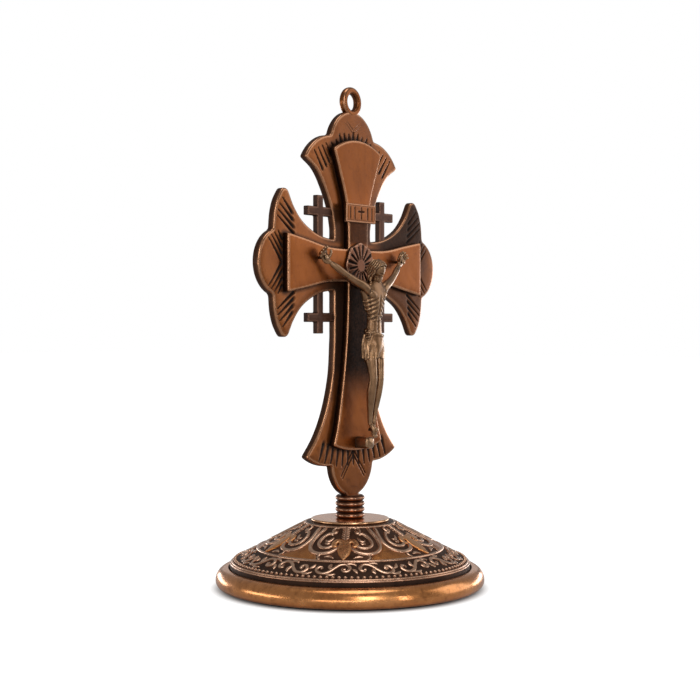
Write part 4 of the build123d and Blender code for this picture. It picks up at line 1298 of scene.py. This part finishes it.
def castFrom(name, shells, voxel, smooth):
    # the skins become one watertight casting of even small faces, gently smoothed; gives points, quads and
    # normals in mm
    points, quads, tris, _ = joinShells(shells)
    mesh = bpy.data.meshes.new(name + "Rough")
    mesh.from_pydata(points.tolist(), [], quads.tolist() + tris.tolist())
    rough = bpy.data.objects.new(name + "Rough", mesh)
    bpy.context.scene.collection.objects.link(rough)
    cast = rough.modifiers.new("cast", "REMESH")
    cast.mode, cast.voxel_size = "VOXEL", voxel
    ease = rough.modifiers.new("ease", "SMOOTH")
    ease.factor, ease.iterations = 0.5, smooth
    done = bpy.data.meshes.new_from_object(rough.evaluated_get(bpy.context.evaluated_depsgraph_get()))
    points = np.empty(len(done.vertices) * 3)
    done.vertices.foreach_get("co", points)
    corners = np.empty(len(done.loops), int)
    done.loops.foreach_get("vertex_index", corners)
    normals = np.empty(len(done.vertices) * 3)
    done.vertices.foreach_get("normal", normals)
    bpy.data.objects.remove(rough)
    bpy.data.meshes.remove(done)
    return points.reshape(-1, 3), corners.reshape(-1, 4), normals.reshape(-1, 3)


def reliefMarks(points, quads, spread=8, strength=9.0):
    # hollows and ridges: how far each point lies from the mean of its neighbours, along its normal, averaged
    # over a few steps so that broad hollows count too
    edges = np.concatenate([quads[:, [0, 1]], quads[:, [1, 2]], quads[:, [2, 3]], quads[:, [3, 0]]])
    count = np.bincount(edges.ravel(), minlength=len(points))[:, None]

    def mean(values):
        # each point's neighbours averaged, column by column
        total = np.stack([
            np.bincount(edges[:, 0], values[edges[:, 1], c], len(points))
            + np.bincount(edges[:, 1], values[edges[:, 0], c], len(points))
                for c in range(values.shape[1])], -1)
        return total / np.maximum(count, 1)

    soft = points
    for _ in range(spread):
        soft = mean(soft)
    normals = np.zeros_like(points)
    face = np.cross(points[quads[:, 2]] - points[quads[:, 0]], points[quads[:, 3]] - points[quads[:, 1]])
    for c in range(4):
        for axis in range(3):
            normals[:, axis] += np.bincount(quads[:, c], face[:, axis], len(points))
    normals = unit(normals)
    bend = ((soft - points) * normals).sum(-1)[:, None]
    bend = mean(bend)[:, 0]
    return np.clip(bend * strength, 0, 1), np.clip(-bend * strength * 0.8, 0, 1)


def workTrunk(points, normals):
    # chiselled anatomy on the front: ribs that arch to the breastbone, the belly's middle line and navel
    x, y, z = points.T
    front = np.clip(-normals[:, 1], 0, 1) ** 0.6 * (z > 78) * (np.abs(x) < 6.5)
    flank = np.clip(1.25 - np.abs(normals[:, 1]) * 0.4, 0, 1)
    arch = z + 0.55 * np.abs(x) - 84.0
    cage = blendStep(83.0, 84.6, z) * blendStep(90.9, 89.6, z) * blendStep(0.6, 1.4, np.abs(x))
    cage = cage * (np.abs(x) < 4.8) * (normals[:, 1] < 0.35)
    lift = 0.13 * np.sin(arch / figure["ribPitch"] * turn) * cage * flank
    hollow = blendStep(0.55, 0.1, np.abs(x)) * blendStep(78.5, 80.5, z) * blendStep(91.5, 90.5, z)
    lift -= 0.16 * hollow * front
    lift -= 0.30 * np.exp(-((x / 0.34) ** 2) - ((z - 80.9) / 0.42) ** 2) * front
    for level in (83.0, 85.2):
        lift -= 0.09 * np.exp(-((z - level) / 0.3) ** 2) * blendStep(2.6, 1.8, np.abs(x)) * front
    costal = np.exp(-((z - 84.9 + 0.55 * np.abs(x)) / 0.5) ** 2)
    costal = costal * blendStep(0.5, 1.0, np.abs(x)) * blendStep(3.4, 2.3, np.abs(x))
    lift -= 0.22 * costal * front * 0.7
    for s in (-1, 1):
        lift += 0.14 * np.exp(-(((x - s * 2.3) / 0.26) ** 2) - ((z - 90.9) / 0.26) ** 2) * front
    shin = blendStep(52, 54, z) * blendStep(65, 62.5, z) * np.clip(-normals[:, 1], 0, 1) ** 3
    lift += 0.10 * shin
    return points + normals * lift[:, None]


figureBronze = copperMaterial("figure", lacquer=0.2)


def castPiece(name, shells, voxel, smooth, work, spread, strength, nodes=()):
    # one fused casting, worked over where asked, then marked by its own hollows and ridges
    points, quads, normals = castFrom(name, shells, voxel, smooth)
    if work:
        points = work(points, normals)
    hollows, ridges = reliefMarks(points, quads, spread, strength)
    skin = shell(points, quads, groove=hollows, edge=ridges)
    makePiece(name, [skin], figureBronze, nodes, 180)


castPiece("figureBody", flesh(), figure["voxel"], 3, workTrunk, 9, 12.0, ["corpus"])
castPiece("figureCloth", clothShell(), figure["voxel"], 1, None, 8, 12.0)
castPiece("figureHead", [headShell(), *hairLocks()], figure["headVoxel"], 1, combHair, 7, 16.0)
print("figure done")


nailFit = {
    "shank": 0.42, "handRadius": 0.8, "footRadius": 0.7, "handAt": (20.0, 102.2), "footAt": (0.0, 49.6),
}


def domedHead(x, z, foot, top, radius):
    # a nail head: rings that close over a shallow dome, slightly hammered, on a thin shank
    a = np.arange(20) / 20 * turn
    rise = np.array([0.0, 0.25, 0.55, 0.8, 0.95])
    rows = [(nailFit["shank"], foot), (nailFit["shank"], top + 0.45)]
    rows += [(radius * math.sqrt(1 - r * r), top + 0.35 - 0.35 * r) for r in rise]
    across, upward = np.cos(a) * (1 + 0.05 * np.sin(5 * a)), np.sin(a) * (1 + 0.05 * np.cos(4 * a))
    rings = np.stack([np.stack([x + r * across, y + 0 * a, z + r * upward], -1) for r, y in rows])
    edge, groove = np.array([0, 0, 0.2, 0.6, 0.9, 0.9, 0.9]), np.array([0.9, 0.9, 0.5, 0, 0, 0, 0])
    return tube(rings, edge=edge[:, None], groove=groove[:, None])


(handX, handZ), (footX, footZ) = nailFit["handAt"], nailFit["footAt"]
handNails = [domedHead(side * handX, handZ, -3.5, -6.75, nailFit["handRadius"]) for side in (-1, 1)]
footNail = domedHead(footX, footZ, -7.4, -10.75, nailFit["footRadius"])
makePiece("handNails", handNails, figureBronze, ["hand_nails"])
makePiece("footNail", [footNail], figureBronze, ["foot_nail"])


def restShell():
    # a rounded block: each section square to the depth is a soft square that swells towards the front
    low, high = [np.array(v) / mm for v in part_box("foot_rest")]
    middle, half = (low + high) / 2, (high - low) / 2
    t = np.linspace(0, 1, 26)
    grow = np.interp(t, [0, 0.06, 0.14, 0.6, 1], [0.0, 0.72, 0.95, 1.0, 0.97])
    a = np.arange(48) / 48 * turn
    power = 0.55
    x = np.sign(np.cos(a)) * np.abs(np.cos(a)) ** power
    z = np.sign(np.sin(a)) * np.abs(np.sin(a)) ** power
    y = low[1] + (high[1] - low[1] + 0.05) * t
    dent = 0.05 * np.sin(3 * a + 1) + 0.04 * np.sin(5 * a)
    across, upward = half[0] * x * (0.97 + 0.03 * dent), half[2] * z * (0.98 + 0.02 * dent)
    rings = np.stack([
        np.stack([middle[0] + g * across, depth + 0 * a, middle[2] + g * upward], -1)
            for g, depth in zip(grow, y)])
    edge = np.interp(t, [0, 0.1, 0.2, 0.4], [0.4, 0.9, 0.6, 0.0])[:, None]
    # the sides are painted darker towards the plate: painted shade; the front edge is rubbed lighter
    return tube(rings, edge=edge, groove=np.interp(t, [0.5, 1.0], [0.0, 0.9])[:, None])


makePiece("footRest", [restShell()], figureBronze, ["foot_rest"])


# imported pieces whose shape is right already: only their finish changes

def dressNode(node, material):
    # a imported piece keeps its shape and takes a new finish
    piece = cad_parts[node]
    piece.data.materials.clear()
    piece.data.materials.append(material)


def rubberMaterial():
    # matt black rubber with a fine pebbled skin and a little dust
    b = Book("padRubber")
    pebble, dust = b.cells(1800), b.noise(220, 5)
    colour = b.tint(dust.ease(0.45, 0.8), (0.012, 0.012, 0.012), (0.05, 0.047, 0.043))
    return b.finish(colour, 0.72 + 0.2 * (dust - 0.5), 0.0, b.bump(pebble, 0.03))


def steelMaterial():
    # zinc-plated steel: pale crystalline spangle, fine turning lines and slight staining
    b = Book("zincSteel")
    spangle, stain, line = b.cells(900), b.noise(160, 5), b.noise(2600, 2, 0.5, (1, 1, 0.05))
    colour = b.tint(spangle.ease(0.1, 0.9), (0.42, 0.43, 0.44), (0.60, 0.60, 0.58))
    colour = b.tint((stain.ease(0.55, 0.8) * 0.5).clip(), colour, (0.25, 0.22, 0.18))
    return b.finish(colour, 0.30 + 0.25 * (stain - 0.4), 0.98, b.bump(line, 0.006))


dressNode("base_pad", rubberMaterial())
zincSteel = steelMaterial()
dressNode("fixing_screw", zincSteel)
dressNode("fixing_washer", zincSteel)
dressNode("overlay_rivets", copperMaterial("neckCopper", lacquer=0.1))
print("kept pieces finished")


# camera, floor and light

view = {"bearing": -53.0, "distance": 448.5, "height": 82.0, "pitch": -1.0, "lens": 36 * 1433.4 / 700}


def placeCamera():
    # stands off along its bearing at a given height and looks level, tipped by pitch
    a, p = math.radians(view["bearing"]), math.radians(view["pitch"])
    camera = bpy.data.objects.new("viewer", bpy.data.cameras.new("viewer"))
    camera.data.lens, camera.data.sensor_width = view["lens"], 36
    away = view["distance"] * mm
    camera.location = (away * math.sin(a), -away * math.cos(a), view["height"] * mm)
    camera.rotation_euler = (math.pi / 2 + p, 0, a)
    camera.data.clip_start, camera.data.clip_end = 0.01, 20
    bpy.context.scene.collection.objects.link(camera)
    bpy.context.scene.camera = camera


def softbox(name, bearing, height, away, size, power):
    # a rectangular lamp at a bearing round the object, turned to face its middle
    a = math.radians(bearing)
    lamp = bpy.data.objects.new(name, bpy.data.lights.new(name, "AREA"))
    lamp.data.shape, lamp.data.size, lamp.data.size_y = "RECTANGLE", size[0], size[1]
    lamp.data.energy = power
    lamp.location = (away * math.sin(a), -away * math.cos(a), height)
    lamp.rotation_euler = (Vector((0, 0, 0.08)) - lamp.location).to_track_quat("-Z", "Y").to_euler()
    bpy.context.scene.collection.objects.link(lamp)
    return lamp


# lamps: bearing, height and distance in metres, size, power
lamps = {
    "keyRight": (50, 0.38, 0.9, (0.60, 0.72), 1.55),
    "fillLeft": (-38, 0.60, 1.1, (0.30, 0.6), 2.6),
    "backPanel": (127, 0.30, 1.5, (0.9, 0.30), 0.30),
    "lowLeft": (-130, 0.14, 0.9, (0.6, 0.14), 0.85),
    "lowRight": (88, 0.08, 0.9, (0.5, 0.14), 0.9),
    "lowBack": (166, 0.08, 0.9, (0.5, 0.14), 0.9),
    "topPanel": (0, 1.2, 0.05, (0.6, 0.6), 3),
    "lowStrip": (-62, 0.10, 0.8, (0.60, 0.06), 0.60),
    "sideStrip": (-8, 0.22, 0.8, (0.05, 0.40), 0.5),
}
floorFit = {"half": 3.0, "glow": 0.93, "grey": 0.35, "shadow": 0.003}


def splitByRay(tree, lit, seen, out):
    # what the camera sees straight on comes from seen, everything else from lit
    ray, mixed = tree.nodes.new("ShaderNodeLightPath"), tree.nodes.new("ShaderNodeMixShader")
    tree.links.new(ray.outputs["Is Camera Ray"], mixed.inputs[0])
    tree.links.new(lit, mixed.inputs[1])
    tree.links.new(seen, mixed.inputs[2])
    tree.links.new(mixed.outputs[0], out.inputs["Surface"])


def floorMaterial():
    # to the eye the floor is as pale as the world behind it; what metal mirrors of it is darker
    b = Book("paleFloor")
    speck = b.noise(40, 3)
    colour = b.tint(speck, (0.55, 0.55, 0.55), (0.60, 0.60, 0.60))
    pale = b.finish(colour, 0.6 + 0.1 * speck, 0.0, b.bump(speck, 0.02))
    tree = pale.node_tree
    seen, glow, both = [tree.nodes.new("ShaderNode" + kind) for kind in
                        ("BsdfDiffuse", "Emission", "AddShader")]
    seen.inputs["Color"].default_value = (*[floorFit["grey"]] * 3, 1)
    glow.inputs["Strength"].default_value = floorFit["glow"]
    # painted contact shadow: the glow fades close under the rim, which draws the dark line where the foot
    # meets the table
    near = tree.nodes.new("ShaderNodeAmbientOcclusion")
    near.inputs["Distance"].default_value = floorFit["shadow"]
    tree.links.new(near.outputs["Color"], glow.inputs["Color"])
    tree.links.new(seen.outputs[0], both.inputs[0])
    tree.links.new(glow.outputs[0], both.inputs[1])
    out = next(n for n in tree.nodes if n.bl_idname == "ShaderNodeOutputMaterial")
    skin = out.inputs["Surface"].links[0].from_socket
    splitByRay(tree, skin, both.outputs[0], out)
    return pale


def layFloor():
    # one wide square under the foot
    mesh = bpy.data.meshes.new("floor")
    square = ((-1, -1), (1, -1), (1, 1), (-1, 1))
    mesh.from_pydata([(x * floorFit["half"], y * floorFit["half"], 0) for x, y in square], [], [(0, 1, 2, 3)])
    mesh.materials.append(floorMaterial())
    floor = bpy.data.objects.new("floor", mesh)
    bpy.context.scene.collection.objects.link(floor)


def lightWorld():
    # a world that is pale to the eye but dimmer where metal mirrors it
    world = bpy.data.worlds.new("studio")
    bpy.context.scene.world = world
    world.use_nodes = True
    tree = world.node_tree
    tree.nodes.clear()
    out = tree.nodes.new("ShaderNodeOutputWorld")
    seen, lit = tree.nodes.new("ShaderNodeBackground"), tree.nodes.new("ShaderNodeBackground")
    seen.inputs["Color"].default_value, seen.inputs["Strength"].default_value = (1, 1, 1, 1), 1.0
    lit.inputs["Color"].default_value, lit.inputs["Strength"].default_value = (1, 0.98, 0.96, 1), 0.26
    splitByRay(tree, lit.outputs[0], seen.outputs[0], out)


def setStage():
    # floor, world and lamps
    layFloor()
    lightWorld()
    for name, row in lamps.items():
        softbox(name, *row)
    bpy.context.scene.view_settings.view_transform = "Standard"


placeCamera()
setStage()
print("camera and lights set")
